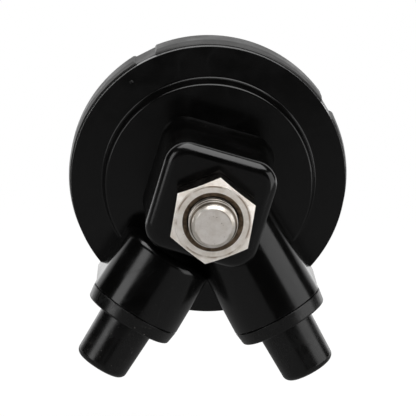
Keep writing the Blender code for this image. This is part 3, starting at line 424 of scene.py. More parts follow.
    def piece(self, name: str, material: bpy.types.Material, soften: float = 0.0) -> bpy.types.Object:
        """Turn the shape into a finished, smoothly shaded piece.

        Args:
            name: the piece's name.
            material: its finish.
            soften: width of a fine bevel on every sharp edge, or 0 for none.

        Returns:
            The new object.
        """
        obj = self._object(name)
        obj.data.shade_smooth()
        obj.data.set_sharp_from_angle(angle=SHARP_ANGLE)
        obj.data.materials.append(material)
        if soften > 0.0:
            bevel = obj.modifiers.new("soft_edges", "BEVEL")
            bevel.width = soften
            bevel.segments = SOFT_STEPS
            bevel.limit_method = "ANGLE"
            bevel.angle_limit = SHARP_ANGLE
            bevel.harden_normals = False
        normals = obj.modifiers.new("even_shading", "WEIGHTED_NORMAL")
        normals.keep_sharp = True
        normals.weight = SHADING_WEIGHT
        return obj


def turn_y(angle: float) -> Matrix:
    """Return a turn about +Y; seen from behind, a positive angle is clockwise."""
    return Matrix.Rotation(angle, 4, "Y")


def at(x: float, z: float, y: float = 0.0) -> Matrix:
    """Return a move along X and Z, and along Y where it is given."""
    return Matrix.Translation((x, y, z))


def polar(radius: float, angle: float) -> Point:
    """Return (x, z) at an angle measured from +X towards +Z."""
    return radius * math.cos(angle), radius * math.sin(angle)


def hexagon_radius(flats: float) -> float:
    """Return the corner radius of a hexagon from its width across flats."""
    return flats / math.sqrt(3.0)


def add_piece(obj: bpy.types.Object, body: Body, slot: Slot, *replaced: str) -> bpy.types.Object:
    """Hang a new piece on its CAD body and report it.

    Args:
        obj: the finished piece.
        body: the CAD body that it rides on.
        slot: the record's material slot; not used.
        replaced: CAD nodes that it stands for.

    Returns:
        The same object.
    """
    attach(obj, body.value)
    if replaced:
        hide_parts(*replaced)
    log.info("%s: %d vertices, rides on %s", obj.name, len(obj.data.vertices), body.value)
    return obj


# ---------------------------------------------------------------- shared levels and frames

@dataclass(frozen=True)
class SwitchFrame:
    """Levels and placements that more than one sub-assembly uses; depths run along +Y."""

    disc_r: float = 30.0 * MM
    rim_y: float = 25.6 * MM
    plateau_y: float = 22.0 * MM
    floor_y: float = 28.1 * MM
    housing_front_y: float = 32.7 * MM
    cover_inner_y: float = 33.8 * MM
    cover_front_y: float = 36.3 * MM
    drum_inner_y: float = 41.7 * MM
    drum_front_y: float = 44.7 * MM
    rotor_rear_y: float = 33.4 * MM
    wall_outer_r: float = 28.75 * MM
    cavity_r: float = 26.95 * MM
    clocking: float = math.radians(15.0)      # of the boss and the stud's head, clockwise from behind
    boss_offset: float = 1.3 * MM
    leg_angle: float = math.radians(30.8)
    leg_tilt: float = math.radians(7.5)
    leg_axis_y: float = 16.1 * MM
    leg_seam: float = 29.8 * MM
    leg_end_r: float = 10.3 * MM
    leg_bore_r: float = 7.0 * MM
    terminal_reach: float = 23.2 * MM
    screw_circle_r: float = 24.3 * MM
    screw_angles: tuple[float, ...] = tuple(math.radians(a) for a in (35.0, 145.0, 200.0, 340.0))
    spindle_r: float = 2.5 * MM
    spindle_flat: float = 0.6 * MM
    detent_circle_r: float = 13.2 * MM
    detent_angle: float = math.radians(45.0)
    detent_floor_y: float = 24.7 * MM

    def boss(self) -> Matrix:
        """Return the boss's own frame."""
        return turn_y(self.clocking) @ at(0.0, self.boss_offset)

    def head_turn(self) -> float:
        """Return the angle of one corner of the stud's hexagon head."""
        return math.pi / 2.0 - self.clocking

    def leg(self, side: Side) -> Matrix:
        """Place a leg.

        Args:
            side: the leg's side.

        Returns:
            The frame whose +Y is the leg's axis, measured outwards from the stud's axis.
        """
        down = Matrix.Rotation(-math.pi / 2.0 - self.leg_tilt, 4, "X")
        pivot = at(0.0, -self.terminal_reach, self.leg_axis_y)
        return turn_y(-side * self.leg_angle) @ pivot @ down @ at(0.0, 0.0, -self.terminal_reach)

    def terminal(self, side: Side) -> Point:
        """Return (x, z) of a terminal screw."""
        reach = self.terminal_reach
        return side * reach * math.sin(self.leg_angle), -reach * math.cos(self.leg_angle)

    def screw_points(self) -> list[Point]:
        """Return (x, z) of each cover screw."""
        return [polar(self.screw_circle_r, angle) for angle in self.screw_angles]

    def detent(self) -> Matrix:
        """Return the move to the detent's axis."""
        return at(*polar(self.detent_circle_r, self.detent_angle))


# ---------------------------------------------------------------- finishes

Socket = bpy.types.NodeSocket
MIX_FACTOR, MIX_FIRST, MIX_SECOND, MIX_RESULT = 0, 6, 7, 2    # a Mix node's sockets when it mixes colours
WHITE = (1.0, 1.0, 1.0, 1.0)


class Nodes:
    """A node tree with short calls to add, join and arrange its nodes."""

    def __init__(self, tree: bpy.types.NodeTree) -> None:
        """Hold a node tree.

        Args:
            tree: the tree that nodes are added to.
        """
        self.tree = tree

    def add(self, kind: str, **settings: object) -> bpy.types.Node:
        """Add a node.

        Args:
            kind: the node's type name, without its ShaderNode prefix where it has one.
            settings: node properties, and values or sockets for inputs by name, with _ for a blank.

        Returns:
            The new node.
        """
        name = kind if kind.startswith("Node") else "ShaderNode" + kind
        node = self.tree.nodes.new(name)
        for key, value in settings.items():
            socket = node.inputs.get(key.replace("_", " "))
            if socket is None or hasattr(node, key):
                setattr(node, key, value)
            else:
                self.feed(value, socket)
        return node

    def feed(self, source: object, target: Socket) -> None:
        """Join a socket to an input, or give the input a value.

        Args:
            source: the socket or the value.
            target: the input.
        """
        if isinstance(source, Socket):
            self.tree.links.new(source, target)
        else:
            target.default_value = source

    def math(self, operation: str, first: object, second: object = 0.0, clamp: bool = False) -> Socket:
        """Add a Math node.

        Args:
            operation: the node's operation.
            first: a socket or a number.
            second: a socket or a number.
            clamp: whether the result is held between 0 and 1.

        Returns:
            The result's socket.
        """
        node = self.add("Math", operation=operation, use_clamp=clamp)
        for source, target in zip((first, second), node.inputs):
            self.feed(source, target)
        return node.outputs[0]

    def ramp(
        self, value: Socket, low: object, high: object, start: float = 0.0, end: float = 1.0,
    ) -> Socket:
        """Map a value from one range onto another, smoothly and held at both ends.

        Args:
            value: the socket to map.
            low: value that gives start, as a number or a socket.
            high: value that gives end, as a number or a socket.
            start: result at low.
            end: result at high.

        Returns:
            The result's socket.
        """
        node = self.add(
            "MapRange", interpolation_type="SMOOTHSTEP", Value=value, From_Min=low, From_Max=high,
            To_Min=start, To_Max=end,
        )
        return node.outputs["Result"]

    def near(self, value: Socket, middle: object, width: object) -> Socket:
        """Mask the values close to a middle; the mask is 1 on it and fades out a width away."""
        off = self.math("ABSOLUTE", self.math("SUBTRACT", value, middle))
        return self.math("SUBTRACT", 1.0, self.math("DIVIDE", off, width), clamp=True)

    def mix(self, mask: Socket, first: object, second: object) -> Socket:
        """Mix two colours by a mask.

        Args:
            mask: the share of the second colour.
            first: a colour or a socket.
            second: a colour or a socket.

        Returns:
            The mixed colour's socket.
        """
        node = self.add("Mix", data_type="RGBA")
        self.feed(mask, node.inputs[MIX_FACTOR])
        for colour, index in ((first, MIX_FIRST), (second, MIX_SECOND)):
            self.feed(colour if isinstance(colour, Socket) else (*colour, 1.0), node.inputs[index])
        return node.outputs[MIX_RESULT]

    def mix_shaders(self, mask: Socket, first: bpy.types.Node, second: bpy.types.Node) -> bpy.types.Node:
        """Mix two shaders by a mask.

        Args:
            mask: the share of the second shader.
            first: a shader's node.
            second: a shader's node.

        Returns:
            The mixing node.
        """
        node = self.add("MixShader")
        for source, target in zip((mask, first.outputs[0], second.outputs[0]), node.inputs):
            self.feed(source, target)
        return node

    def here(self) -> Socket:
        """Return the object coordinates."""
        return self.add("TexCoord").outputs["Object"]

    def noise(self, scale: object, vector: Socket | None = None, **settings: float) -> Socket:
        """Add a noise texture.

        Args:
            scale: its scale, as a number or a socket.
            vector: the coordinates that it reads, or None for the object's.
            settings: its other inputs.

        Returns:
            The noise's value.
        """
        place = self.here() if vector is None else vector
        return self.add("TexNoise", Vector=place, Scale=scale, **settings).outputs["Fac"]


class EffectLibrary:
    """Shared surface effects, each a node group that is built once."""

    def __init__(self) -> None:
        """Build every effect."""
        self.cloud = self._cloud()
        self.specks = self._specks()
        self.scratches = self._scratches()
        self.edges = self._edges()
        self.grime_and_shade = self._grime_and_shade()
        self.rings = self._rings()
        self.thread_shade_lines = self._thread_shade_lines()
        self.ring_stain = self._ring_stain()

    @staticmethod
    def _group(
        name: str, inputs: dict[str, float], *outputs: str,
    ) -> tuple[Nodes, bpy.types.NodeOutputs, bpy.types.NodeInputs]:
        """Start a node group.

        Args:
            name: the group's name.
            inputs: input sockets with their default values.
            outputs: names of the output values.

        Returns:
            The group's nodes, the sockets that bring its inputs and those that take its results.
        """
        tree = bpy.data.node_groups.new(name, "ShaderNodeTree")
        for title, value in inputs.items():
            socket = tree.interface.new_socket(name=title, in_out="INPUT", socket_type="NodeSocketFloat")
            socket.default_value = value
        for title in outputs:
            tree.interface.new_socket(name=title, in_out="OUTPUT", socket_type="NodeSocketFloat")
        nodes = Nodes(tree)
        return nodes, nodes.add("NodeGroupInput").outputs, nodes.add("NodeGroupOutput").inputs

    def _cloud(self) -> bpy.types.NodeTree:
        """Return soft mottling: a value that drifts between 0 and 1, and the noise that it comes from."""
        nodes, given, result = self._group("mottling", {"Scale": 400.0, "Contrast": 0.2}, "Value", "Height")
        middle = 0.5
        noise = nodes.noise(given["Scale"], Detail=5.0, Roughness=0.6)
        low = nodes.math("SUBTRACT", middle, given["Contrast"])
        high = nodes.math("ADD", middle, given["Contrast"])
        nodes.feed(nodes.ramp(noise, low, high), result["Value"])
        nodes.feed(noise, result["Height"])
        return nodes.tree

    def _specks(self) -> bpy.types.NodeTree:
        """Return fine dust: small round specks that gather in drifting patches."""
        inputs = {"Scale": 900.0, "Size": 0.1, "Patches": 60.0}
        nodes, given, result = self._group("dust_specks", inputs, "Mask")
        patch = (0.45, 0.7)           # noise where a patch begins, and where it is full
        soft_edge = 0.03              # of a speck, in cells
        cells = nodes.add("TexVoronoi", feature="F1", Vector=nodes.here(), Scale=given["Scale"])
        patches = nodes.ramp(nodes.noise(given["Patches"], Detail=2.0), *patch)
        reach = nodes.math("MULTIPLY", given["Size"], patches)
        inside = nodes.math("SUBTRACT", reach, cells.outputs["Distance"])
        nodes.feed(nodes.ramp(inside, 0.0, soft_edge), result["Mask"])
        return nodes.tree

    def _scratches(self) -> bpy.types.NodeTree:
        """Return hairline scratches: thin lines of stretched noise in two directions."""
        nodes, given, result = self._group("hairline_scratches", {"Scale": 60.0, "Width": 0.02}, "Mask")
        level = 0.62                  # the noise value that the lines follow
        strokes = ((0.6, 14.0), (2.2, 10.0))    # each direction's turn, and the stretch across it
        masks = []
        for turn, stretch in strokes:
            lie = (turn, turn / 2.0, turn)
            turned = nodes.add("Mapping", Vector=nodes.here(), Rotation=lie, Scale=(1.0, stretch, 1.0))
            noise = nodes.noise(given["Scale"], turned.outputs["Vector"], Detail=1.0, Distortion=0.4)
            masks.append(nodes.near(noise, level, given["Width"]))
        nodes.feed(nodes.math("MAXIMUM", *masks), result["Mask"])
        return nodes.tree

    def _edges(self) -> bpy.types.NodeTree:
        """Return a mask of rubbed outer edges, broken up by noise."""
        nodes, given, result = self._group("edge_rub", {"Radius": 0.3 * MM, "Breakup": 500.0}, "Mask")
        lean = (0.97, 0.75)           # cosine to the rounded normal, where the rub begins and is full
        broken = (0.4, 0.6)           # noise where the gaps end, and where the rub is whole
        rounded = nodes.add("Bevel", samples=4, Radius=given["Radius"])
        surface = nodes.add("NewGeometry")
        facing = nodes.add("VectorMath", operation="DOT_PRODUCT")
        for source, target in zip((rounded, surface), facing.inputs):
            nodes.feed(source.outputs["Normal"], target)
        edge = nodes.ramp(facing.outputs["Value"], *lean)
        patchy = nodes.ramp(nodes.noise(given["Breakup"], Detail=3.0), *broken)
        nodes.feed(nodes.math("MULTIPLY", edge, patchy), result["Mask"])
        return nodes.tree

    def _grime_and_shade(self) -> bpy.types.NodeTree:
        """Return a mask, from ambient occlusion, of dirt and painted shade that gather in corners and
        narrow gaps.
        """
        nodes, given, result = self._group("corner_grime_and_shade", {"Reach": 1.0 * MM, "Breakup": 300.0}, "Mask")
        openness = (0.95, 0.55)       # where the dirt and painted shade begin, and where they are full
        broken = (0.3, 0.6)           # noise where the dirt and painted shade are thinnest, and where they are whole
        thinnest = 0.45               # share of the dirt and painted shade that is always left
        closed_in = nodes.add("AmbientOcclusion", samples=6, Distance=given["Reach"])
        shade = nodes.ramp(closed_in.outputs["AO"], *openness)
        patchy = nodes.ramp(nodes.noise(given["Breakup"], Detail=4.0), *broken, start=thinnest)
        nodes.feed(nodes.math("MULTIPLY", shade, patchy), result["Mask"])
        return nodes.tree

    def _rings(self) -> bpy.types.NodeTree:
        """Return the fine turning rings of a faced or turned metal part on the stud's axis."""
        nodes, given, result = self._group("turning_rings", {"Scale": 5000.0}, "Height")
        parts, radius = self._stud_radius(nodes)
        along = nodes.add("CombineXYZ", X=radius, Y=parts["Y"])
        nodes.feed(nodes.noise(given["Scale"], along.outputs["Vector"], Detail=2.0), result["Height"])
        return nodes.tree

    @staticmethod
    def _stud_radius(nodes: Nodes) -> tuple[bpy.types.NodeOutputs, Socket]:
        """Measure how far the shaded point lies from the stud's axis.

        Args:
            nodes: the group's nodes.

        Returns:
            The object coordinates one by one, and the distance.
        """
        parts = nodes.add("SeparateXYZ", Vector=nodes.here()).outputs
        squares = [nodes.math("POWER", parts[axis], 2.0) for axis in "XZ"]
        return parts, nodes.math("SQRT", nodes.math("ADD", *squares))

    def _thread_shade_lines(self) -> bpy.types.NodeTree:
        """Return a mask of painted shade on a thread's flanks, a line that climbs round the stud's axis."""
        inputs = {"Pitch": 1.5 * MM, "Start": 0.0, "Root": 4.3 * MM}
        nodes, given, result = self._group("thread_shade_lines", inputs, "Mask")
        flank = (0.43, 0.35)          # share of the pitch from the line's middle to its two ends
        root = (1.0, 1.05)            # distance from the axis, in root radii
        parts, radius = self._stud_radius(nodes)
        turn = nodes.math("DIVIDE", nodes.math("ARCTAN2", parts["Z"], parts["X"]), FULL_TURN)
        climb = nodes.math("DIVIDE", parts["Y"], given["Pitch"])
        phase = nodes.math("SUBTRACT", nodes.math("ADD", turn, climb), given["Start"])
        off_middle = nodes.math("ABSOLUTE", nodes.math("SUBTRACT", nodes.math("FRACT", phase), 0.5))
        line = nodes.ramp(off_middle, *flank)
        outside = nodes.ramp(nodes.math("DIVIDE", radius, given["Root"]), *root)
        nodes.feed(nodes.math("MULTIPLY", line, outside), result["Mask"])
        return nodes.tree

    def _ring_stain(self) -> bpy.types.NodeTree:
        """Return a mask of a broken ring of stain round the stud's axis."""
        nodes, given, result = self._group("ring_stain", {"Radius": 7.5 * MM, "Width": 0.3 * MM}, "Mask")
        broken = (0.42, 0.58)         # noise where the gaps end, and where the ring is whole
        breakup = 220.0               # the noise's scale
        _, radius = self._stud_radius(nodes)
        ring = nodes.near(radius, given["Radius"], given["Width"])
        patchy = nodes.ramp(nodes.noise(breakup, Detail=3.0), *broken)
        nodes.feed(nodes.math("MULTIPLY", ring, patchy), result["Mask"])
        return nodes.tree


@dataclass(frozen=True)
class Finish:
    """One finish: its plain values and how much of each shared effect it carries."""

    name: str
    colour: Colour
    second: Colour                    # the colour that the mottling drifts towards
    roughness: float
    rougher: float                    # roughness where the mottling is strongest
    metallic: float = 0.0
    cloud_scale: float = 400.0
    cloud_contrast: float = 0.2
    grain_scale: float = 2500.0
    grain_depth: float = 0.01 * MM
    ring_scale: float = 0.0           # turning rings, or none
    ring_depth: float = 0.0
    thread_shade: Colour | None = None      # painted shade on the thread's flanks
    thread_shade_start: float = 0.0         # the painted shade line's place, in pitches
    stain: Colour | None = None       # a broken ring round the stud's axis
    stain_radius: float = 7.5 * MM
    stain_width: float = 0.3 * MM
    dust: Colour | None = None
    dust_scale: float = 900.0
    dust_size: float = 0.1
    edge: Colour | None = None
    edge_radius: float = 0.3 * MM
    # grime darkens corners and gaps found by ambient occlusion: dirt, and painted shade
    grime_and_shade: Colour | None = None
    grime_and_shade_reach: float = 1.0 * MM
    scratches: float = 0.0            # roughness that the scratches add
    grime_and_shade_roughness: float = 0.2      # roughness that full grime and painted shade add
    dust_roughness: float = 0.5       # roughness that a speck adds

    def build(self, effects: EffectLibrary) -> bpy.types.Material:
        """Make the finish's material.

        Args:
            effects: the shared effects.

        Returns:
            The node material.
        """
        material = bpy.data.materials.new(self.name)
        material.use_nodes = True
        nodes = Nodes(material.node_tree)
        shader = material.node_tree.nodes["Principled BSDF"]
        shader.inputs["Metallic"].default_value = self.metallic
        cloud = self._effect(nodes, effects.cloud, Scale=self.cloud_scale, Contrast=self.cloud_contrast)
        colour = nodes.mix(cloud["Value"], self.colour, self.second)
        rough = nodes.ramp(cloud["Value"], 0.0, 1.0, self.roughness, self.rougher)
        stain = {"Radius": self.stain_radius, "Width": self.stain_width}
        specks = {"Scale": self.dust_scale, "Size": self.dust_size}
        layers = (
            (effects.grime_and_shade, self.grime_and_shade, {"Reach": self.grime_and_shade_reach}, self.grime_and_shade_roughness),
            (effects.thread_shade_lines, self.thread_shade, {"Start": self.thread_shade_start}, 0.0),
            (effects.ring_stain, self.stain, stain, 0.0),
            (effects.edges, self.edge, {"Radius": self.edge_radius}, 0.0),
            (effects.specks, self.dust, specks, self.dust_roughness),
        )
        for effect, tint, values, added in layers:
            if tint is not None:
                mask = self._effect(nodes, effect, **values)["Mask"]
                colour = nodes.mix(mask, colour, tint)
                rough = self._roughened(nodes, rough, mask, added)
        if self.scratches > 0.0:
            mask = self._effect(nodes, effects.scratches)["Mask"]
            rough = self._roughened(nodes, rough, mask, self.scratches)
        nodes.feed(colour, shader.inputs["Base Color"])
        nodes.feed(rough, shader.inputs["Roughness"])
        nodes.feed(self._relief(nodes, effects), shader.inputs["Normal"])
        return material

    @staticmethod
    def _roughened(nodes: Nodes, rough: Socket, mask: Socket, added: float) -> Socket:
        """Add roughness where a mask lies.

        Args:
            nodes: the material's nodes.
            rough: the roughness so far.
            mask: where more is added.
            added: how much is added where the mask is full.

        Returns:
            The new roughness.
        """
        if added == 0.0:
            return rough
        return nodes.math("ADD", rough, nodes.math("MULTIPLY", mask, added), clamp=True)

    def _relief(self, nodes: Nodes, effects: EffectLibrary) -> Socket:
        """Raise the finish's grain and turning rings.

        Args:
            nodes: the material's nodes.
            effects: the shared effects.

        Returns:
            The normal.
        """
        grain = self._effect(nodes, effects.cloud, Scale=self.grain_scale)
        bump = nodes.add("Bump", Distance=self.grain_depth, Height=grain["Height"])
        if self.ring_scale > 0.0:
            rings = self._effect(nodes, effects.rings, Scale=self.ring_scale)
            marks = nodes.add("Bump", Distance=self.ring_depth, Height=rings["Height"])
            nodes.feed(marks.outputs["Normal"], bump.inputs["Normal"])
        return bump.outputs["Normal"]

    @staticmethod
    def _effect(nodes: Nodes, tree: bpy.types.NodeTree, **values: float) -> bpy.types.NodeOutputs:
        """Place a shared effect in the material.

        Args:
            nodes: the material's nodes.
            tree: the effect's group.
            values: the material's own values for its inputs.

        Returns:
            The effect's results.
        """
        node = nodes.add("Group")
        node.node_tree = tree
        for title, value in values.items():
            node.inputs[title].default_value = value
        return node.outputs


class Palette:
    """Every finish of the switch, built once."""

    def __init__(self) -> None:
        """Build the finishes."""
        effects = EffectLibrary()
        # each grime colour below is dirt and painted shade in corners and gaps
        dust = (0.06, 0.055, 0.05)
        self.housing = Finish(
            "black_moulding", (0.0008, 0.0008, 0.0007), (0.0014, 0.0013, 0.0013), 0.15, 0.22,
            cloud_scale=120.0, grain_scale=1400.0, grain_depth=0.0012 * MM, dust=dust, dust_size=0.06,
            edge=(0.018, 0.018, 0.018), edge_radius=0.15 * MM, scratches=0.06,
        ).build(effects)
        self.cover = Finish(
            "cover_moulding", (0.0040, 0.0036, 0.0032), (0.0070, 0.0064, 0.0058), 0.38, 0.48,
            cloud_scale=160.0, grain_scale=2600.0, dust=dust, dust_size=0.06, scratches=0.08,
        ).build(effects)
        self.boot = Finish(
            "boot_elastomer", (0.0012, 0.0011, 0.0010), (0.0022, 0.0021, 0.0020), 0.22, 0.30,
            cloud_scale=220.0, grain_scale=3200.0, grain_depth=0.003 * MM, dust=dust, dust_size=0.12,
            scratches=0.08,
        ).build(effects)
        self.rubber = Finish(
            "seal_rubber", (0.012, 0.012, 0.012), (0.020, 0.020, 0.019), 0.6, 0.75,
            grain_scale=3000.0, grain_depth=0.02 * MM, dust=dust,
        ).build(effects)
        turned = Finish(
            "turned_stainless", (0.97, 0.92, 0.86), (0.80, 0.73, 0.65), 0.38, 0.50, metallic=0.5,
            cloud_scale=520.0, cloud_contrast=0.20, grain_scale=3500.0, grain_depth=0.012 * MM,
            dust=(0.16, 0.10, 0.06), dust_scale=1100.0, dust_size=0.13,
            ring_scale=6000.0, ring_depth=0.006 * MM, edge=(0.75, 0.72, 0.68), edge_radius=0.12 * MM,
            grime_and_shade=(0.06, 0.035, 0.018), grime_and_shade_reach=0.9 * MM, scratches=0.15,
            stain=(0.30, 0.21, 0.14), stain_radius=7.45 * MM, stain_width=0.28 * MM,
        )
        self.stainless = turned.build(effects)
        self.stud_end = replace(
            turned, name="stud_end_stainless", colour=(0.74, 0.70, 0.66), second=(0.60, 0.55, 0.50),
            stain=(0.30, 0.25, 0.20), stain_radius=3.68 * MM, stain_width=0.30 * MM,
        ).build(effects)
        self.drawn_steel = Finish(
            "drawn_stainless", (0.66, 0.62, 0.57), (0.55, 0.50, 0.44), 0.12, 0.20, metallic=1.0,
            cloud_scale=500.0, grain_scale=3500.0, grain_depth=0.004 * MM, edge=(0.75, 0.72, 0.68),
            edge_radius=0.12 * MM, grime_and_shade=(0.06, 0.035, 0.018), grime_and_shade_reach=0.6 * MM,
        ).build(effects)
        # the thread colour here is painted shade on the thread's flanks
        self.thread_steel = Finish(
            "thread_stainless", (0.76, 0.72, 0.67), (0.56, 0.51, 0.45), 0.28, 0.40, metallic=0.75,
            cloud_scale=600.0, grain_scale=3500.0, grain_depth=0.006 * MM, grime_and_shade=(0.05, 0.03, 0.015),
            grime_and_shade_reach=0.5 * MM, thread_shade=(0.10, 0.08, 0.06), thread_shade_start=0.23,
        ).build(effects)
        # dark brown steel for the faces of the nut's countersink
        self.sink_brown_steel = Finish(
            "sink_brown_stainless", (0.25, 0.18, 0.12), (0.10, 0.07, 0.045), 0.35, 0.55, metallic=0.6,
            cloud_scale=900.0, cloud_contrast=0.15, grain_scale=4000.0, grain_depth=0.015 * MM,
        ).build(effects)
        self.screw_steel = Finish(
            "screw_steel", (0.58, 0.57, 0.55), (0.47, 0.45, 0.43), 0.28, 0.42, metallic=1.0,
            grain_scale=5000.0, grain_depth=0.008 * MM, edge=(0.78, 0.77, 0.75), grime_and_shade=(0.05, 0.04, 0.03),
        ).build(effects)
        self.spring_steel = Finish(
            "spring_steel", (0.40, 0.41, 0.42), (0.30, 0.30, 0.31), 0.25, 0.4, metallic=1.0,
            grain_scale=6000.0, grain_depth=0.005 * MM,
        ).build(effects)
        self.brass = Finish(
            "brass", (0.60, 0.42, 0.15), (0.42, 0.27, 0.10), 0.28, 0.45, metallic=1.0,
            grain_scale=4000.0, grain_depth=0.008 * MM, edge=(0.80, 0.62, 0.30), grime_and_shade=(0.10, 0.06, 0.02),
        ).build(effects)
        self.copper = Finish(
            "copper", (0.62, 0.26, 0.13), (0.42, 0.15, 0.08), 0.25, 0.42, metallic=1.0,
            grain_scale=4000.0, grain_depth=0.008 * MM, edge=(0.85, 0.45, 0.30), grime_and_shade=(0.08, 0.04, 0.02),
        ).build(effects)
        self.red = Finish(
            "red_moulding", (0.46, 0.014, 0.012), (0.49, 0.017, 0.014), 0.24, 0.30,
            cloud_scale=150.0, grain_scale=1800.0, grain_depth=0.004 * MM, dust=(0.45, 0.20, 0.18),
            edge=(0.60, 0.06, 0.05), scratches=0.1,
        ).build(effects)
        self.white = Finish(
            "white_moulding", (0.72, 0.71, 0.68), (0.64, 0.63, 0.60), 0.35, 0.5,
            grain_depth=0.006 * MM, grime_and_shade=(0.35, 0.33, 0.30),
        ).build(effects)
        self.insulator = Finish(
            "laminate", (0.30, 0.14, 0.05), (0.20, 0.09, 0.03), 0.45, 0.6,
            cloud_scale=700.0, grain_scale=2600.0, grain_depth=0.02 * MM,
        ).build(effects)


# ---------------------------------------------------------------- rear housing

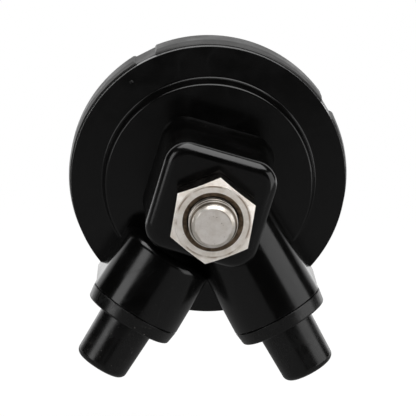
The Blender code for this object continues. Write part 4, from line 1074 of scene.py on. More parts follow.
@dataclass
class RearHousing:
    """The one-piece rear housing: disc, plateau, boss and two cable legs."""

    shared: SwitchFrame
    rim_flange: float = 1.9 * MM
    rim_round: float = 0.15 * MM
    plateau_foot_r: float = 23.2 * MM
    plateau_top_r: float = 22.45 * MM
    plateau_round: float = 0.45 * MM
    plateau_fillet: float = 0.4 * MM
    boss_size: tuple[float, float] = (23.95 * MM, 23.4 * MM)
    boss_shift: float = -0.57 * MM    # of the boss's middle, along its own width
    boss_corner: float = 5.0 * MM
    boss_edge: float = 2.2 * MM
    boss_edge_steps: int = 10
    boss_flare: float = 0.55 * MM
    boss_flare_height: float = 3.5 * MM
    boss_flare_steps: int = 6
    leg_taper: float = math.radians(1.2)
    leg_starts: tuple[float, float] = (15.4 * MM, 6.0 * MM)     # left and right
    root_round: float = 1.8 * MM
    root_steps: int = 8
    seam_round: float = 0.08 * MM     # of the leg's outer end
    web_end: float = 29.4 * MM
    web_inset: float = 0.012 * MM     # the web stays this far inside the leg's skin above the axis
    floor_overlap: float = 1.25 * MM  # how far webs and posts reach into the disc's floor
    bore_start: float = 19.7 * MM
    pillar_r: float = 3.0 * MM
    pilot_r: float = 1.75 * MM
    pilot_rear_y: float = 27.6 * MM
    collar_r: float = 3.4 * MM
    collar_height: float = 2.4 * MM
    plunger_hole_r: float = 2.1 * MM
    stud_hole_r: float = 5.3 * MM
    head_flats: float = 16.6 * MM
    head_seat: float = 13.6 * MM
    insulator_seat_r: float = 12.7 * MM
    insulator_seat_y: float = 26.6 * MM
    window_size: tuple[float, float] = (9.2 * MM, 7.0 * MM)
    witness_r: float = 0.45 * MM
    witness_rise: float = 0.5         # height of the dome over its radius
    witness_steps: tuple[int, int] = (24, 12)
    witness_point: Point = (-17.25 * MM, 21.7 * MM)

    def build(self, palette: Palette) -> None:
        """Build the housing and stand it in for its CAD node.

        Args:
            palette: the finishes.
        """
        shell = self._disc().join(self._boss())
        for side, start in zip(Side, self.leg_starts):
            shell.join(self._tube(side, start))
            shell.join(self._web(side, start))
        shell.join(*self._inner_posts())
        shell.join(self._witness_mark())
        shell.cut(*self._cutters())
        piece = shell.piece("rear_housing_shell", palette.housing)
        add_piece(piece, Body.ROOT, Slot.BLACK_PLASTIC, "rear_housing")

    def _disc(self) -> Solid:
        """Return the hollow disc with its plateau, rim flange and side wall."""
        s = self.shared
        return Solid.turned([
            Corner(0.0, s.plateau_y),
            Corner(self.plateau_top_r, s.plateau_y, self.plateau_round),
            Corner(self.plateau_foot_r, s.rim_y, self.plateau_fillet),
            Corner(s.disc_r, s.rim_y, self.rim_round),
            Corner(s.disc_r, s.rim_y + self.rim_flange),
            Corner(s.wall_outer_r, s.rim_y + self.rim_flange),
            Corner(s.wall_outer_r, s.housing_front_y),
            Corner(s.cavity_r, s.housing_front_y),
            Corner(s.cavity_r, s.floor_y),
            Corner(0.0, s.floor_y),
        ])

    def _boss(self) -> Solid:
        """Return the rounded square boss with its flared foot and rounded face edge."""
        s = self.shared
        foot = s.plateau_y + (s.floor_y - s.plateau_y) / 2.0
        boss = Solid.block(*self.boss_size, 0.0, foot, self.boss_corner)
        flare_top = s.plateau_y - self.boss_flare_height
        for step in range(self.boss_flare_steps + 1):
            level = flare_top + self.boss_flare_height * step / self.boss_flare_steps
            boss.bisect(AXIS * level, AXIS)
        for vert in boss.mesh.verts:
            share = min(1.0, max(0.0, (vert.co.y - flare_top) / self.boss_flare_height))
            wider = 1.0 + 2.0 * self.boss_flare * share ** 2 / self.boss_size[0]
            vert.co.x *= wider
            vert.co.z *= wider
        boss.round(lambda e: all(v.co.y < MERGE for v in e.verts), self.boss_edge, self.boss_edge_steps)
        return boss.place(s.boss() @ at(self.boss_shift, 0.0))

    def _radius_at(self, reach: float) -> float:
        """Return a leg's radius at a distance along its axis."""
        s = self.shared
        return s.leg_end_r - (s.leg_seam - reach) * math.tan(self.leg_taper)

    def _tube(self, side: Side, start: float) -> Solid:
        """Make one tapered leg, round in section.

        Args:
            side: the leg's side.
            start: where it starts along its axis.

        Returns:
            The leg in its place.
        """
        s = self.shared
        tube = Solid.turned([
            Corner(0.0, start),
            Corner(self._radius_at(start), start, self.root_round),
            Corner(s.leg_end_r, s.leg_seam, self.seam_round),
            Corner(0.0, s.leg_seam),
        ], LEG_STEPS)
        return tube.place(s.leg(side))

    def _web(self, side: Side, start: float) -> Solid:
        """Make the walls that run from a leg's sides down to the disc, in one U section.

        Args:
            side: the leg's side.
            start: where they start along the leg's axis.

        Returns:
            The walls in their place.
        """
        s = self.shared
        mesh = bmesh.new()
        begin_r = self._radius_at(start) - self.web_inset
        end_r = self._radius_at(s.leg_seam) - self.web_inset
        lay = Matrix.Translation((0.0, start, 0.0)) @ ALONG_AXIS
        bmesh.ops.create_circle(mesh, cap_ends=False, segments=LEG_STEPS, radius=begin_r, matrix=lay)
        lower = [v for v in mesh.verts if v.co.z > MERGE]
        bmesh.ops.delete(mesh, geom=lower, context="VERTS")
        ends = [v for v in mesh.verts if len(v.link_edges) == 1]
        dropped = bmesh.ops.extrude_vert_indiv(mesh, verts=ends)["verts"]
        bmesh.ops.translate(mesh, vec=(0.0, 0.0, 2.0 * s.leg_end_r), verts=dropped)
        mesh.edges.new(dropped)
        bmesh.ops.contextual_create(mesh, geom=mesh.edges[:])
        side_face = bmesh.ops.extrude_face_region(mesh, geom=mesh.faces[:])["geom"]
        far = [v for v in side_face if isinstance(v, bmesh.types.BMVert)]
        bmesh.ops.translate(mesh, vec=(0.0, s.leg_seam - start, 0.0), verts=far)
        bmesh.ops.scale(mesh, vec=(end_r / begin_r, 1.0, end_r / begin_r), verts=far)
        web = Solid(mesh).tidy()
        deepest = max(v.co.z for v in web.mesh.verts)
        web.round(
            lambda e: (
                all(abs(v.co.y - start) < MERGE for v in e.verts)
                and any(v.co.z <= deepest / 2.0 for v in e.verts)
            ),
            self.root_round, self.root_steps,
        )
        web.place(s.leg(side))
        web.slice(AXIS * (s.rim_y + self.floor_overlap), AXIS)
        outwards = turn_y(-side * s.leg_angle) @ Vector((0.0, 0.0, -1.0))
        return web.slice(outwards * self.web_end, outwards)

    def _inner_posts(self) -> list[Solid]:
        """Return the screw pillars and the detent's collar, inside the disc."""
        s = self.shared
        below = s.floor_y - self.floor_overlap
        posts = [
            Solid.rod(self.pillar_r, below, s.housing_front_y - GAP, SCREW_STEPS).place(at(x, z))
            for x, z in s.screw_points()
        ]
        collar = Solid.rod(self.collar_r, below, s.floor_y + self.collar_height, SCREW_STEPS)
        return [*posts, collar.place(s.detent())]

    def _witness_mark(self) -> Solid:
        """Return the small domed witness mark that the mould leaves on the disc."""
        mesh = bmesh.new()
        around, up = self.witness_steps
        bmesh.ops.create_uvsphere(mesh, u_segments=around, v_segments=up, radius=self.witness_r)
        bmesh.ops.scale(mesh, vec=(1.0, self.witness_rise, 1.0), verts=mesh.verts)
        x, z = self.witness_point
        return Solid(mesh).place(at(x, z, self.shared.rim_y))

    def _cutters(self) -> list[Solid]:
        """Return everything that is cut out of the housing."""
        s = self.shared
        cutters = [
            Solid.rod(hexagon_radius(self.head_flats), self.head_seat, s.floor_y, HEX_SIDES, s.head_turn()),
            Solid.rod(self.insulator_seat_r, self.insulator_seat_y, s.floor_y + OVERSHOOT),
            Solid.turned([
                Corner(0.0, -OVERSHOOT),
                Corner(self.stud_hole_r + OVERSHOOT, -OVERSHOOT),
                Corner(self.stud_hole_r, 0.0),
                Corner(self.stud_hole_r, self.head_seat + OVERSHOOT),
                Corner(0.0, self.head_seat + OVERSHOOT),
            ], SMALL_STEPS),
            Solid.rod(self.plunger_hole_r, s.detent_floor_y, s.rotor_rear_y, SCREW_STEPS).place(s.detent()),
        ]
        for x, z in s.screw_points():
            pilot = Solid.rod(self.pilot_r, self.pilot_rear_y, s.cover_front_y, SCREW_STEPS)
            cutters.append(pilot.place(at(x, z)))
        for side in Side:
            bore = Solid.rod(s.leg_bore_r, self.bore_start, s.leg_seam + OVERSHOOT)
            cutters.append(bore.place(s.leg(side)))
            window = Solid.block(*self.window_size, s.leg_axis_y, s.floor_y + OVERSHOOT)
            cutters.append(window.place(at(*s.terminal(side)) @ turn_y(-side * s.leg_angle)))
        return cutters


# ---------------------------------------------------------------- stud and nut

@dataclass
class StudAndNut:
    """The threaded mounting stud with its hexagon head, and the nut that clamps a bulkhead."""

    shared: SwitchFrame
    stud_r: float = 5.0 * MM
    stud_tip: float = -9.1 * MM
    stud_chamfer: tuple[float, float] = (1.24 * MM, 1.3 * MM)    # across and along
    tip_round: float = 0.12 * MM
    chamfer_round: float = 0.1 * MM
    end_facing: float = 0.97          # least cosine to the axis of the stud's end; the rest is thread
    pitch: float = 1.5 * MM
    thread_depth: float = 0.75 * MM
    thread_turns: int = 10
    thread_steps: int = 64            # facets to a turn
    thread_lead: float = 0.2          # how far beyond the stud's tip the groove starts, in pitches
    root_share: float = 0.14          # half width of the groove's floor, in pitches
    mouth_share: float = 0.43         # half width of the groove's mouth, in pitches
    head_flats: float = 16.0 * MM
    head_rear: float = 15.1 * MM
    head_thickness: float = 6.4 * MM
    nut_flats: float = 16.0 * MM
    nut_thickness: float = 5.4 * MM
    nut_chamfer: float = 0.7 * MM
    nut_face_inset: float = 0.3 * MM
    nut_step: float = 0.14 * MM       # the bearing face stands this proud of the chamfer
    nut_step_draft: float = 0.02 * MM
    nut_rear_round: float = 0.04 * MM
    nut_front_round: float = 0.2 * MM
    nut_soften: float = 0.07 * MM
    nut_turn: float = math.radians(7.0)
    sink_r: float = 6.2 * MM
    sink_depth: float = 0.6 * MM
    sink_facing: float = 0.9          # greatest cosine to the axis of a sink face that takes the dark brown steel
    flat_facing: float = 0.2          # greatest cosine to the axis of a drawn flat
    flat_reach: float = 0.45          # a flat's least distance from the axis, over the width across flats

    def build(self, palette: Palette) -> None:
        """Build the stud and the nut.

        Args:
            palette: the finishes.
        """
        stud = self._stud().piece("mounting_stud_threaded", palette.stud_end)
        stud.data.materials.append(palette.thread_steel)
        for face in stud.data.polygons:
            leans = abs(face.normal.y) < self.end_facing
            face.material_index = int(leans and face.center.y < self.head_rear)
        add_piece(stud, Body.ROOT, Slot.STAINLESS, "mounting_stud")
        nut = self._nut().piece("hex_nut_machined", palette.stainless, self.nut_soften)
        nut.data.materials.append(palette.drawn_steel)
        nut.data.materials.append(palette.sink_brown_steel)
        drawn, sink_brown = 1, 2
        for face in nut.data.polygons:
            away = Vector((face.center.x, face.center.z)).length
            if away < self.sink_r and abs(face.normal.y) < self.sink_facing:
                face.material_index = sink_brown
            elif away > self.nut_flats * self.flat_reach and abs(face.normal.y) < self.flat_facing:
                face.material_index = drawn
        add_piece(nut, Body.ROOT, Slot.STAINLESS, "hex_nut")

    def _stud(self) -> Solid:
        """Return the stud: a chamfered shank with a cut thread, and its hexagon head."""
        front = self.head_rear + self.head_thickness
        drop, length = self.stud_chamfer
        shank = Solid.turned([
            Corner(0.0, self.stud_tip),
            Corner(self.stud_r - drop, self.stud_tip, self.tip_round),
            Corner(self.stud_r, self.stud_tip + length, self.chamfer_round),
            Corner(self.stud_r, self.head_rear + OVERSHOOT),
            Corner(0.0, self.head_rear + OVERSHOOT),
        ], SMALL_STEPS)
        shank.cut(self._thread_cutter())
        corner_r = hexagon_radius(self.head_flats)
        return shank.join(Solid.rod(corner_r, self.head_rear, front, HEX_SIDES, self.shared.head_turn()))

    def _thread_cutter(self) -> Solid:
        """Return the helical groove between the thread's crests."""
        half_root = self.pitch * self.root_share
        half_mouth = self.pitch * self.mouth_share
        root_r = self.stud_r - self.thread_depth
        outer_r = self.stud_r + GAP
        begin = self.stud_tip - self.pitch * self.thread_lead
        outline = [
            (root_r, begin - half_root),
            (self.stud_r, begin - half_mouth),
            (outer_r, begin - half_mouth),
            (outer_r, begin + half_mouth),
            (self.stud_r, begin + half_mouth),
            (root_r, begin + half_root),
        ]
        return Solid.coil(outline, self.pitch, self.thread_turns, self.thread_steps)

    def _nut(self) -> Solid:
        """Return the chamfered, countersunk nut."""
        front = -GAP
        rear = front - self.nut_thickness
        corner_r = hexagon_radius(self.nut_flats)
        face_r = self.nut_flats / 2.0 - self.nut_face_inset
        outer_r = corner_r + OVERSHOOT
        drop = self.nut_chamfer / (corner_r - face_r) * (outer_r - face_r)
        nut = Solid.rod(corner_r, rear, front, HEX_SIDES, self.shared.head_turn() + self.nut_turn)
        nut.keep(Solid.turned([
            Corner(0.0, rear),
            Corner(face_r, rear, self.nut_rear_round),
            Corner(face_r + self.nut_step_draft, rear + self.nut_step),
            Corner(outer_r, rear + self.nut_step + drop),
            Corner(outer_r, front - drop),
            Corner(face_r, front, self.nut_front_round),
            Corner(0.0, front),
        ]))
        bore_r = self.stud_r + GAP
        wide_r = self.sink_r + OVERSHOOT
        return nut.cut(Solid.turned([
            Corner(0.0, rear - OVERSHOOT),
            Corner(wide_r, rear - OVERSHOOT),
            Corner(self.sink_r, rear),
            Corner(bore_r, rear + self.sink_depth),
            Corner(bore_r, front - self.sink_depth),
            Corner(self.sink_r, front),
            Corner(wide_r, front + OVERSHOOT),
            Corner(0.0, front + OVERSHOOT),
        ], SMALL_STEPS))


# ---------------------------------------------------------------- cable boots

@dataclass
class CableBoots:
    """The two moulded boots: a plug in the leg, a flange on its end and a closed cable tube."""

    shared: SwitchFrame
    flange_length: float = 2.9 * MM
    flange_draft: float = 0.4 * MM
    flange_round: float = 0.5 * MM
    root_fillet: float = 0.45 * MM
    tube_r: float = 6.2 * MM
    tube_draft: float = 0.3 * MM
    tube_length: float = 11.95 * MM
    tip_round: float = 1.5 * MM
    wall: float = 1.7 * MM
    bore_round: float = 0.8 * MM
    plug_length: float = 2.4 * MM
    plug_round: float = 0.2 * MM
    seat_round: float = 0.12 * MM
    seam_clearance: float = 0.03 * MM    # between the leg's end and the boot
    seam_depth: float = 0.9 * MM         # of the groove between them

    def build(self, palette: Palette) -> None:
        """Build both boots.

        Args:
            palette: the finishes.
        """
        for side in Side:
            node = "cable_boot_" + side.name.lower()
            boot = self._boot().place(self.shared.leg(side))
            add_piece(boot.piece(node + "_moulding", palette.boot), Body.ROOT, Slot.BOOT_RUBBER, node)

    def _boot(self) -> Solid:
        """Return one boot along +Y."""
        s = self.shared
        seat = s.leg_seam + GAP
        shoulder = seat + self.flange_length
        tip = shoulder + self.tube_length
        plug_r = s.leg_bore_r - GAP
        plug_start = s.leg_seam - self.plug_length
        bore_r = self.tube_r - self.wall
        return Solid.turned([
            Corner(0.0, tip - self.wall),
            Corner(bore_r, tip - self.wall, self.bore_round),
            Corner(bore_r, shoulder),
            Corner(plug_r - self.wall, seat),
            Corner(plug_r - self.wall, plug_start),
            Corner(plug_r, plug_start, self.plug_round),
            Corner(plug_r, s.leg_seam + self.seam_clearance),
            Corner(s.leg_end_r - self.seam_depth, s.leg_seam + self.seam_clearance),
            Corner(s.leg_end_r - self.seam_depth, seat),
            Corner(s.leg_end_r, seat, self.seat_round),
            Corner(s.leg_end_r - self.flange_draft, shoulder, self.flange_round),
            Corner(self.tube_r, shoulder, self.root_fillet),
            Corner(self.tube_r - self.tube_draft, tip, self.tip_round),
            Corner(0.0, tip),
        ], LEG_STEPS)


# ---------------------------------------------------------------- front cover

@dataclass
class FrontCover:
    """The front cover: notched skirt, plate, drum and the raised words on the plate."""

    shared: SwitchFrame
    skirt_r: float = 30.65 * MM
    skirt_inner_r: float = 29.05 * MM
    skirt_rear_y: float = 27.8 * MM
    skirt_taper: tuple[float, float] = (0.6 * MM, 2.1 * MM)    # across and along
    skirt_lip: float = 0.28 * MM
    skirt_rounds: tuple[float, float] = (0.15 * MM, 0.4 * MM)    # of its inner lip and where its taper ends
    plate_edge: float = 1.2 * MM
    drum_r: float = 20.0 * MM
    drum_wall: float = 2.6 * MM
    drum_edge: float = 1.5 * MM
    drum_fillet: float = 0.6 * MM
    bush_wall: float = 1.8 * MM
    seal_section: float = 1.7 * MM
    seal_room: float = 0.6 * MM       # round the seal in its seat
    seat_round: float = 0.2 * MM
    notch_width: float = 4.8 * MM
    notch_flare: float = 1.5625       # width of a notch's cutter at its outer side over that at its inner
    notch_corner: float = 0.2 * MM
    notch_angles: tuple[float, ...] = tuple(math.radians(a) for a in (57.6, 151.6, 237.6, 331.6))
    notch_depth: float = 0.65 * MM
    screw_hole_r: float = 1.7 * MM
    head_hole_r: float = 3.0 * MM
    head_hole_y: float = 34.5 * MM
    head_hole_chamfer: float = 0.4 * MM
    head_hole_rise: float = 0.15 * MM    # how far the chamfer's cutter stands out of the plate
    marks: tuple[tuple[str, Point], ...] = (("OFF", (24.6 * MM, 0.0)), ("ON", (0.0, 24.4 * MM)))
    letter_height: float = 3.4 * MM
    letter_scale: float = 1.35        # font size over the height of a capital
    letter_spacing: float = 1.05
    letter_proud: float = 0.22 * MM
    letter_bevel: float = 0.06 * MM
    letter_bevel_steps: int = 2

    def build(self, palette: Palette) -> None:
        """Build the cover and its raised marks.

        Args:
            palette: the finishes.
        """
        cover = self._body()
        cover.cut(*self._cutters())
        shell = cover.piece("front_cover_shell", palette.cover)
        add_piece(shell, Body.ROOT, Slot.BLACK_PLASTIC, "front_cover")
        for text, middle in self.marks:
            mark = self._mark("mark_" + text.lower(), text, middle)
            mark.data.materials.append(palette.white)
            add_piece(mark, Body.ROOT, Slot.WHITE_PLASTIC)

    def _body(self) -> Solid:
        """Return the turned cover."""
        s = self.shared
        bore_r = s.spindle_r + GAP + self.bush_wall + GAP
        seat_r = s.spindle_r + self.seal_section + self.seal_room
        seat_y = s.drum_front_y - self.seal_section - self.seal_room
        lip_r = self.skirt_r - self.skirt_taper[0]
        return Solid.turned([
            Corner(self.skirt_inner_r, self.skirt_rear_y, self.skirt_rounds[0]),
            Corner(lip_r, self.skirt_rear_y),
            Corner(lip_r + self.skirt_lip, self.skirt_rear_y + self.skirt_lip),
            Corner(self.skirt_r, self.skirt_rear_y + self.skirt_taper[1], self.skirt_rounds[1]),
            Corner(self.skirt_r, s.cover_front_y, self.plate_edge),
            Corner(self.drum_r, s.cover_front_y, self.drum_fillet),
            Corner(self.drum_r, s.drum_front_y, self.drum_edge),
            Corner(seat_r, s.drum_front_y, self.seat_round),
            Corner(seat_r, seat_y),
            Corner(bore_r, seat_y),
            Corner(bore_r, s.drum_inner_y),
            Corner(self.drum_r - self.drum_wall, s.drum_inner_y),
            Corner(self.drum_r - self.drum_wall, s.cover_inner_y),
            Corner(self.skirt_inner_r, s.cover_inner_y),
        ])

    def _cutters(self) -> list[Solid]:
        """Return the rim notches and the screw holes."""
        s = self.shared
        cutters = []
        notch_front_y = s.cover_front_y + OVERSHOOT
        for turn in self.notch_angles:
            notch = Solid.block(
                self.notch_width, 2.0 * self.notch_depth, s.rim_y, notch_front_y, self.notch_corner,
            )
            for vert in notch.mesh.verts:
                if vert.co.z > 0.0:
                    vert.co.x *= self.notch_flare
            cutters.append(notch.place(turn_y(turn) @ at(0.0, self.skirt_r)))
        mouth_y = s.cover_front_y + self.head_hole_rise
        for x, z in s.screw_points():
            hole = Solid.turned([
                Corner(0.0, s.cover_inner_y - OVERSHOOT),
                Corner(self.screw_hole_r, s.cover_inner_y - OVERSHOOT),
                Corner(self.screw_hole_r, self.head_hole_y),
                Corner(self.head_hole_r, self.head_hole_y),
                Corner(self.head_hole_r, mouth_y - self.head_hole_chamfer),
                Corner(self.head_hole_r + self.head_hole_chamfer, mouth_y),
                Corner(0.0, mouth_y),
            ], SCREW_STEPS)
            cutters.append(hole.place(at(x, z)))
        return cutters

    def _mark(self, name: str, text: str, middle: Point) -> bpy.types.Object:
        """Return a raised word on the cover's plate, upright as seen from the front.

        Args:
            name: the piece's name.
            text: the word.
            middle: (x, z) of its middle.

        Returns:
            The word as a mesh object.
        """
        curve = bpy.data.curves.new(name, "FONT")
        curve.body = text
        curve.size = self.letter_height * self.letter_scale
        curve.align_x = "CENTER"
        curve.align_y = "CENTER"
        curve.extrude = self.letter_proud
        curve.bevel_depth = self.letter_bevel
        curve.bevel_resolution = self.letter_bevel_steps
        curve.space_character = self.letter_spacing
        writer = new_object(name + "_text", curve)
        graph = bpy.context.evaluated_depsgraph_get()
        data = bpy.data.meshes.new_from_object(writer.evaluated_get(graph))
        bpy.data.objects.remove(writer, do_unlink=True)
        facing = Matrix.Rotation(math.pi, 4, "Z") @ ALONG_AXIS
        data.transform(at(*middle, self.shared.cover_front_y) @ facing)
        mesh = bmesh.new()
        mesh.from_mesh(data)
        bmesh.ops.remove_doubles(mesh, verts=mesh.verts, dist=MERGE)
        mesh.to_mesh(data)
        mesh.free()
        data.name = name
        data.materials.clear()
        return new_object(name, data)


# ---------------------------------------------------------------- knob

@dataclass
class RotaryKnob:
    """The red knob: a turned disc, a raised grip bar, its cap and its inlaid pointer."""

    shared: SwitchFrame
    knob_r: float = 18.6 * MM
    rear_y: float = 45.5 * MM
    disc_y: float = 50.5 * MM
    grip_y: float = 62.5 * MM
    edge: float = 1.4 * MM
    rear_round: float = 0.3 * MM
    grip_width: float = 10.0 * MM
    grip_reach: float = 17.4 * MM
    grip_root: float = 2.5 * MM       # how far the bar reaches into the disc
    grip_end_flat: float = 0.01 * MM  # half the flat left between the rounds of its ends
    grip_edge: float = 1.6 * MM
    grip_edge_steps: int = 8
    grip_edge_angle: float = math.radians(60.0)    # edges of the bar's top that turn by more are rounded
    waist: float = 0.9 * MM
    waist_spans: int = 9
    web_y: float = 55.3 * MM
    seat_y: float = 57.1 * MM
    cap_r: float = 3.6 * MM
    cap_thickness: float = 1.4 * MM
    cap_round: float = 0.3 * MM
    dish_edge: tuple[float, float] = (0.9 * MM, 1.1 * MM)    # in from the cap's edge, at its top and foot
    dish_depth: float = 0.2 * MM
    dish_round: float = 0.1 * MM
    screw_hole_r: float = 1.8 * MM
    pointer_size: tuple[float, float] = (9.0 * MM, 2.2 * MM)
    pointer_x: float = 10.3 * MM
    pointer_depth: float = 1.2 * MM
    pointer_proud: float = 0.2 * MM
    pointer_corner: float = 0.5 * MM
    pointer_edge: float = 0.15 * MM
    pointer_edge_steps: int = 3

    def build(self, palette: Palette) -> None:
        """Build the knob's pieces.

        Args:
            palette: the finishes.
        """
        pieces = (
            (self._knob(), "knob_moulding", palette.red, Slot.RED_PLASTIC, "knob"),
            (self._pointer(), "pointer_inlay", palette.white, Slot.WHITE_PLASTIC, "knob_pointer"),
            (self._cap(), "knob_cap_moulding", palette.housing, Slot.BLACK_PLASTIC, "knob_cap"),
        )
        for solid, name, finish, slot, node in pieces:
            add_piece(solid.piece(name, finish), Body.KNOB, slot, node)

    def _knob(self) -> Solid:
        """Return the knob with its bore, screw well and pointer recess."""
        disc = Solid.turned([
            Corner(0.0, self.rear_y),
            Corner(self.knob_r, self.rear_y, self.rear_round),
            Corner(self.knob_r, self.disc_y, self.edge),
            Corner(0.0, self.disc_y),
        ])
        disc.join(self._grip())
        flat = self.shared.spindle_r - self.shared.spindle_flat + GAP
        bore = Solid.rod(self.shared.spindle_r + GAP, self.rear_y - OVERSHOOT, self.web_y)
        bore.slice(Vector((0.0, 0.0, flat)), Vector((0.0, 0.0, 1.0)))
        recess = Solid.block(
            self.pointer_size[0] + 2.0 * GAP, self.pointer_size[1] + 2.0 * GAP,
            self.grip_y - self.pointer_depth - GAP, self.grip_y + OVERSHOOT,
        )
        return disc.cut(
            bore,
            Solid.rod(self.screw_hole_r, self.web_y - OVERSHOOT, self.grip_y, SCREW_STEPS),
            Solid.rod(self.cap_r + GAP, self.seat_y, self.grip_y + OVERSHOOT, SMALL_STEPS),
            recess.place(at(self.pointer_x, 0.0)),
        )

    def _grip(self) -> Solid:
        """Return the grip bar, waisted a little between its round ends."""
        corner = self.grip_width / 2.0 - self.grip_end_flat
        grip = Solid.block(
            2.0 * self.grip_reach, self.grip_width, self.disc_y - self.grip_root, self.grip_y, corner,
        )
        for index in range(1, self.waist_spans):
            across = self.grip_reach * (2.0 * index / self.waist_spans - 1.0)
            grip.bisect(Vector((across, 0.0, 0.0)), Vector((1.0, 0.0, 0.0)))
        for vert in grip.mesh.verts:
            if abs(vert.co.z) > MERGE:
                share = math.cos(min(1.0, abs(vert.co.x) / self.grip_reach) * math.pi / 2.0)
                vert.co.z -= math.copysign(self.waist * share ** 2, vert.co.z)
        grip.round(
            lambda e: (
                all(v.co.y > self.grip_y - MERGE for v in e.verts)
                and e.is_manifold
                and e.calc_face_angle(0.0) > self.grip_edge_angle
            ),
            self.grip_edge, self.grip_edge_steps,
        )
        return grip

    def _pointer(self) -> Solid:
        """Return the inlaid pointer."""
        rear = self.grip_y - self.pointer_depth
        front = self.grip_y + self.pointer_proud
        bar = Solid.block(*self.pointer_size, rear, front, self.pointer_corner)
        bar.round(
            lambda e: all(v.co.y > self.grip_y for v in e.verts),
            self.pointer_edge, self.pointer_edge_steps,
        )
        return bar.place(at(self.pointer_x, 0.0))

    def _cap(self) -> Solid:
        """Return the slightly dished cap over the knob's screw."""
        rear = self.grip_y - self.cap_thickness
        dish = self.grip_y - self.dish_depth
        top_edge, foot_edge = self.dish_edge
        return Solid.turned([
            Corner(0.0, rear),
            Corner(self.cap_r, rear),
            Corner(self.cap_r, self.grip_y, self.cap_round),
            Corner(self.cap_r - top_edge, self.grip_y, self.dish_round),
            Corner(self.cap_r - foot_edge, dish, self.dish_round),
            Corner(0.0, dish),
        ], SMALL_STEPS)


# ---------------------------------------------------------------- mechanism

@dataclass
class Mechanism:
    """The pieces inside: the detent's spring, and the CAD pieces that only take a finish."""

    shared: SwitchFrame
    spring_r: float = 1.3 * MM
    spring_wire_r: float = 0.2 * MM
    spring_length: float = 3.0 * MM
    spring_turns: float = 3.5
    wire_sides: int = 12

    def build(self, palette: Palette) -> None:
        """Coil the spring that the detent's plunger squeezes, and stand it in for its CAD node.

        Args:
            palette: the finishes.
        """
        s = self.shared
        foot = s.detent_floor_y + GAP
        section = []
        for side in range(self.wire_sides):
            along, out = polar(self.spring_wire_r, FULL_TURN * side / self.wire_sides)
            section.append((self.spring_r + out, foot + self.spring_wire_r + along))
        pitch = (self.spring_length - 2.0 * self.spring_wire_r) / self.spring_turns
        coil = Solid.coil(section, pitch, self.spring_turns, SCREW_STEPS).place(s.detent())
        spring = coil.piece("detent_spring_coiled", palette.spring_steel)
        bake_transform(spring)
        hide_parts("detent_spring")
        vertices = len(spring.data.vertices)
        log.info("%s: %d vertices, squeezed by %s", spring.name, vertices, Body.DETENT.value)

    def dress(self, palette: Palette) -> None:
        """Give every carried-over piece its finish.

        Args:
            palette: the finishes.
        """
        finishes = {
            palette.rubber: ["cover_gasket", "stud_seal", "spindle_seal"],
            palette.screw_steel: [
                "cover_screw_1", "cover_screw_2", "cover_screw_3", "cover_screw_4",
                "knob_screw", "knob_washer", "lock_washer_left", "lock_washer_right",
                "terminal_screw_left", "terminal_screw_right", "detent_plunger",
            ],
            palette.spring_steel: ["contact_spring"],
            palette.brass: ["terminal_block_left", "terminal_block_right", "spindle_bush", "spindle"],
            palette.copper: ["fixed_contact_left", "fixed_contact_right", "contact_bridge"],
            palette.housing: ["rotor"],
            palette.insulator: ["insulator_plate"],
        }
        for material, names in finishes.items():
            for name in names:
                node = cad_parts[name]
                if not node.material_slots:
                    node.data.materials.append(material)
                for slot in node.material_slots:
                    slot.material = material
                log.info("%s: CAD shape, finish %s", name, material.name)


# ---------------------------------------------------------------- studio

ENERGY = 4.0                      # watts of a light for each square metre and unit of its radiance


@dataclass(frozen=True)
class Softbox:
    """A rectangular studio light, placed by its direction from the switch."""

    name: str
    direction: Direction
    distance: float
    width: float
    height: float
    radiance: float

    def build(self, target: Vector) -> None:
        """Make the light.

        Args:
            target: the point that it faces.
        """
        light = bpy.data.lights.new(self.name, "AREA")
        light.shape = "RECTANGLE"
        light.size = self.width
        light.size_y = self.height
        light.energy = ENERGY * self.radiance * self.width * self.height
        obj = new_object(self.name, light)
        towards = Vector(self.direction).normalized()
        obj.location = target + towards * self.distance
        obj.rotation_euler = towards.to_track_quat("Z", "Y").to_euler()


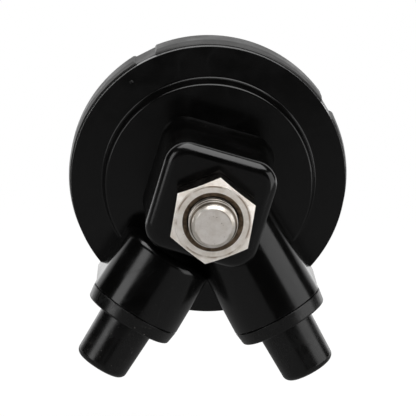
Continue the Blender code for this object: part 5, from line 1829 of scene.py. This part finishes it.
@dataclass
class Studio:
    """Camera, floor, surroundings and lights."""

    shared: SwitchFrame
    elevation: float = math.radians(16.0)
    azimuth: float = math.radians(-2.1)
    roll: float = math.radians(1.8)
    distance: float = 0.400
    lens: float = 158.5
    sensor: float = 36.0
    near_clip: float = 0.01
    framing: Point = (0.13 * MM, 5.76 * MM)
    aim: Direction = (0.0, 0.02, 0.0)                 # the point that the lights face
    floor_z: float = -75.0 * MM
    floor_near: float = -0.12
    floor_far: float = 2.4
    floor_half: float = 1.6
    floor_white: tuple[float, ...] = (0.9, 0.9, 0.9, 1.0)
    shadow_share: float = 0.14
    shadow_reach: Span = (0.12, 0.30)                 # the shadow fades out between these distances
    room_level: float = 0.012                         # what gloss shows of the dim room above the table
    table_level: float = 0.22
    table_edge: Span = (-0.25, -0.215)                # heights between which the table fades to the room
    table_middle: float = 0.03                        # the table's edge is low here, along X
    table_sides: Span = (0.09, 0.14)                  # and climbs between these distances from there
    table_climb: float = 0.22
    table_to_sweep: Span = (0.10, 0.40)               # the floor grows brighter between these depths
    floor_gloss: float = 1.6
    sweep_level: float = 0.95
    sweep_edge: Span = (0.50, 0.74)                   # the sweep grows bright between these depths
    fill_level: float = 0.42                          # what matt surfaces get from all round
    lights: tuple[Softbox, ...] = (
        Softbox("strip_left", (-0.794, -0.536, 0.285), distance=1.0, width=0.42, height=0.66, radiance=1.8),
        Softbox("panel_right", (0.951, -0.309, 0.0), distance=1.0, width=0.95, height=1.10, radiance=1.2),
        Softbox("overhead", (0.12, -0.12, 0.985), distance=0.9, width=0.90, height=1.36, radiance=2.6),
    )

    def build(self) -> None:
        """Build the studio round the switch."""
        self._camera()
        self._floor()
        self._surroundings()
        for box in self.lights:
            box.build(Vector(self.aim))
        bpy.context.scene.view_settings.view_transform = "Standard"

    def _camera(self) -> None:
        """Place the camera behind the switch, a little above its axis."""
        flat = math.cos(self.elevation)
        aside = math.sin(self.azimuth) * flat
        behind = -math.cos(self.azimuth) * flat
        back = Vector((aside, behind, math.sin(self.elevation)))
        turn = back.to_track_quat("Z", "Y").to_matrix() @ Matrix.Rotation(self.roll, 3, "Z")
        camera = bpy.data.cameras.new("camera")
        camera.lens = self.lens
        camera.sensor_width = self.sensor
        camera.clip_start = self.near_clip
        obj = new_object("camera", camera)
        centre = Vector((0.0, self.shared.rim_y, 0.0))
        across, up = self.framing
        obj.location = centre + back * self.distance - turn.col[1] * up - turn.col[0] * across
        obj.rotation_euler = turn.to_euler()
        bpy.context.scene.camera = obj

    def _floor(self) -> None:
        """Lay the pale floor, which keeps a faint shadow near the switch and is plain white further out."""
        mesh = bmesh.new()
        bmesh.ops.create_grid(mesh, x_segments=2, y_segments=2, size=1.0)
        half_depth = (self.floor_far - self.floor_near) / 2.0
        bmesh.ops.scale(mesh, vec=(self.floor_half, half_depth, 1.0), verts=mesh.verts)
        bmesh.ops.translate(mesh, vec=(0.0, self.floor_near + half_depth, self.floor_z), verts=mesh.verts)
        data = bpy.data.meshes.new("floor")
        mesh.to_mesh(data)
        mesh.free()
        floor = new_object("floor", data)
        data.materials.append(self._floor_material())

    def _floor_material(self) -> bpy.types.Material:
        """Return the floor's white, mostly plain, with a matt share that shows the shadow."""
        material = bpy.data.materials.new("floor_white")
        material.use_nodes = True
        material.node_tree.nodes.clear()
        nodes = Nodes(material.node_tree)
        place = nodes.here()
        parts = nodes.add("SeparateXYZ", Vector=place)
        away = nodes.add("VectorMath", operation="LENGTH")
        nodes.feed(place, away.inputs[0])
        matt_share = nodes.ramp(away.outputs["Value"], *self.shadow_reach, self.shadow_share, 0.0)
        path = nodes.add("LightPath").outputs
        gloss = path["Is Glossy Ray"]
        seen = nodes.math("MAXIMUM", path["Is Camera Ray"], path["Is Transmission Ray"])
        plain = nodes.math("MULTIPLY", seen, nodes.math("SUBTRACT", 1.0, matt_share))
        plain = nodes.math("MAXIMUM", plain, gloss)
        mirrored = nodes.ramp(parts.outputs["Y"], *self.table_to_sweep, self.table_level, self.floor_gloss)
        dimming = nodes.math("MULTIPLY", gloss, nodes.math("SUBTRACT", 1.0, mirrored))
        matt = nodes.add("BsdfDiffuse", Color=self.floor_white)
        glow = nodes.add("Emission", Color=WHITE, Strength=nodes.math("SUBTRACT", 1.0, dimming))
        result = nodes.add("OutputMaterial")
        nodes.feed(nodes.mix_shaders(plain, matt, glow).outputs[0], result.inputs["Surface"])
        return material

    def _surroundings(self) -> None:
        """Surround the switch with white.

        Gloss shows a darker room instead: a bright sweep beyond the knob, the table below and a dim wall
        behind the stud.
        """
        world = bpy.data.worlds.new("studio")
        bpy.context.scene.world = world
        world.use_nodes = True
        world.node_tree.nodes.clear()
        nodes = Nodes(world.node_tree)
        place = nodes.add("TexCoord")
        parts = nodes.add("SeparateXYZ", Vector=place.outputs["Generated"]).outputs
        aside = nodes.math("ABSOLUTE", nodes.math("SUBTRACT", parts["X"], self.table_middle))
        climb = nodes.ramp(aside, *self.table_sides, 0.0, self.table_climb)
        height = nodes.math("SUBTRACT", parts["Z"], climb)
        table = nodes.ramp(height, *self.table_edge, self.table_level, self.room_level)
        sweep = nodes.ramp(parts["Y"], *self.sweep_edge, 0.0, self.sweep_level)
        path = nodes.add("LightPath").outputs
        white = nodes.add("Background", Color=WHITE, Strength=1.0)
        room = nodes.add("Background", Color=WHITE, Strength=nodes.math("MAXIMUM", table, sweep))
        fill = nodes.add("Background", Color=WHITE, Strength=self.fill_level)
        straight = nodes.math("MAXIMUM", path["Is Camera Ray"], path["Is Transmission Ray"])
        lit = nodes.mix_shaders(path["Is Glossy Ray"], fill, room)
        result = nodes.add("OutputWorld")
        nodes.feed(nodes.mix_shaders(straight, lit, white).outputs[0], result.inputs["Surface"])


# ---------------------------------------------------------------- the whole switch

def main() -> None:
    """Build the studio and every sub-assembly of the switch."""
    logging.basicConfig(level=logging.INFO, format="%(name)s: %(message)s")
    shared = SwitchFrame()
    Studio(shared).build()
    palette = Palette()
    RearHousing(shared).build(palette)
    StudAndNut(shared).build(palette)
    CableBoots(shared).build(palette)
    FrontCover(shared).build(palette)
    RotaryKnob(shared).build(palette)
    mechanism = Mechanism(shared)
    mechanism.build(palette)
    mechanism.dress(palette)


if __name__ == "__main__":
    main()
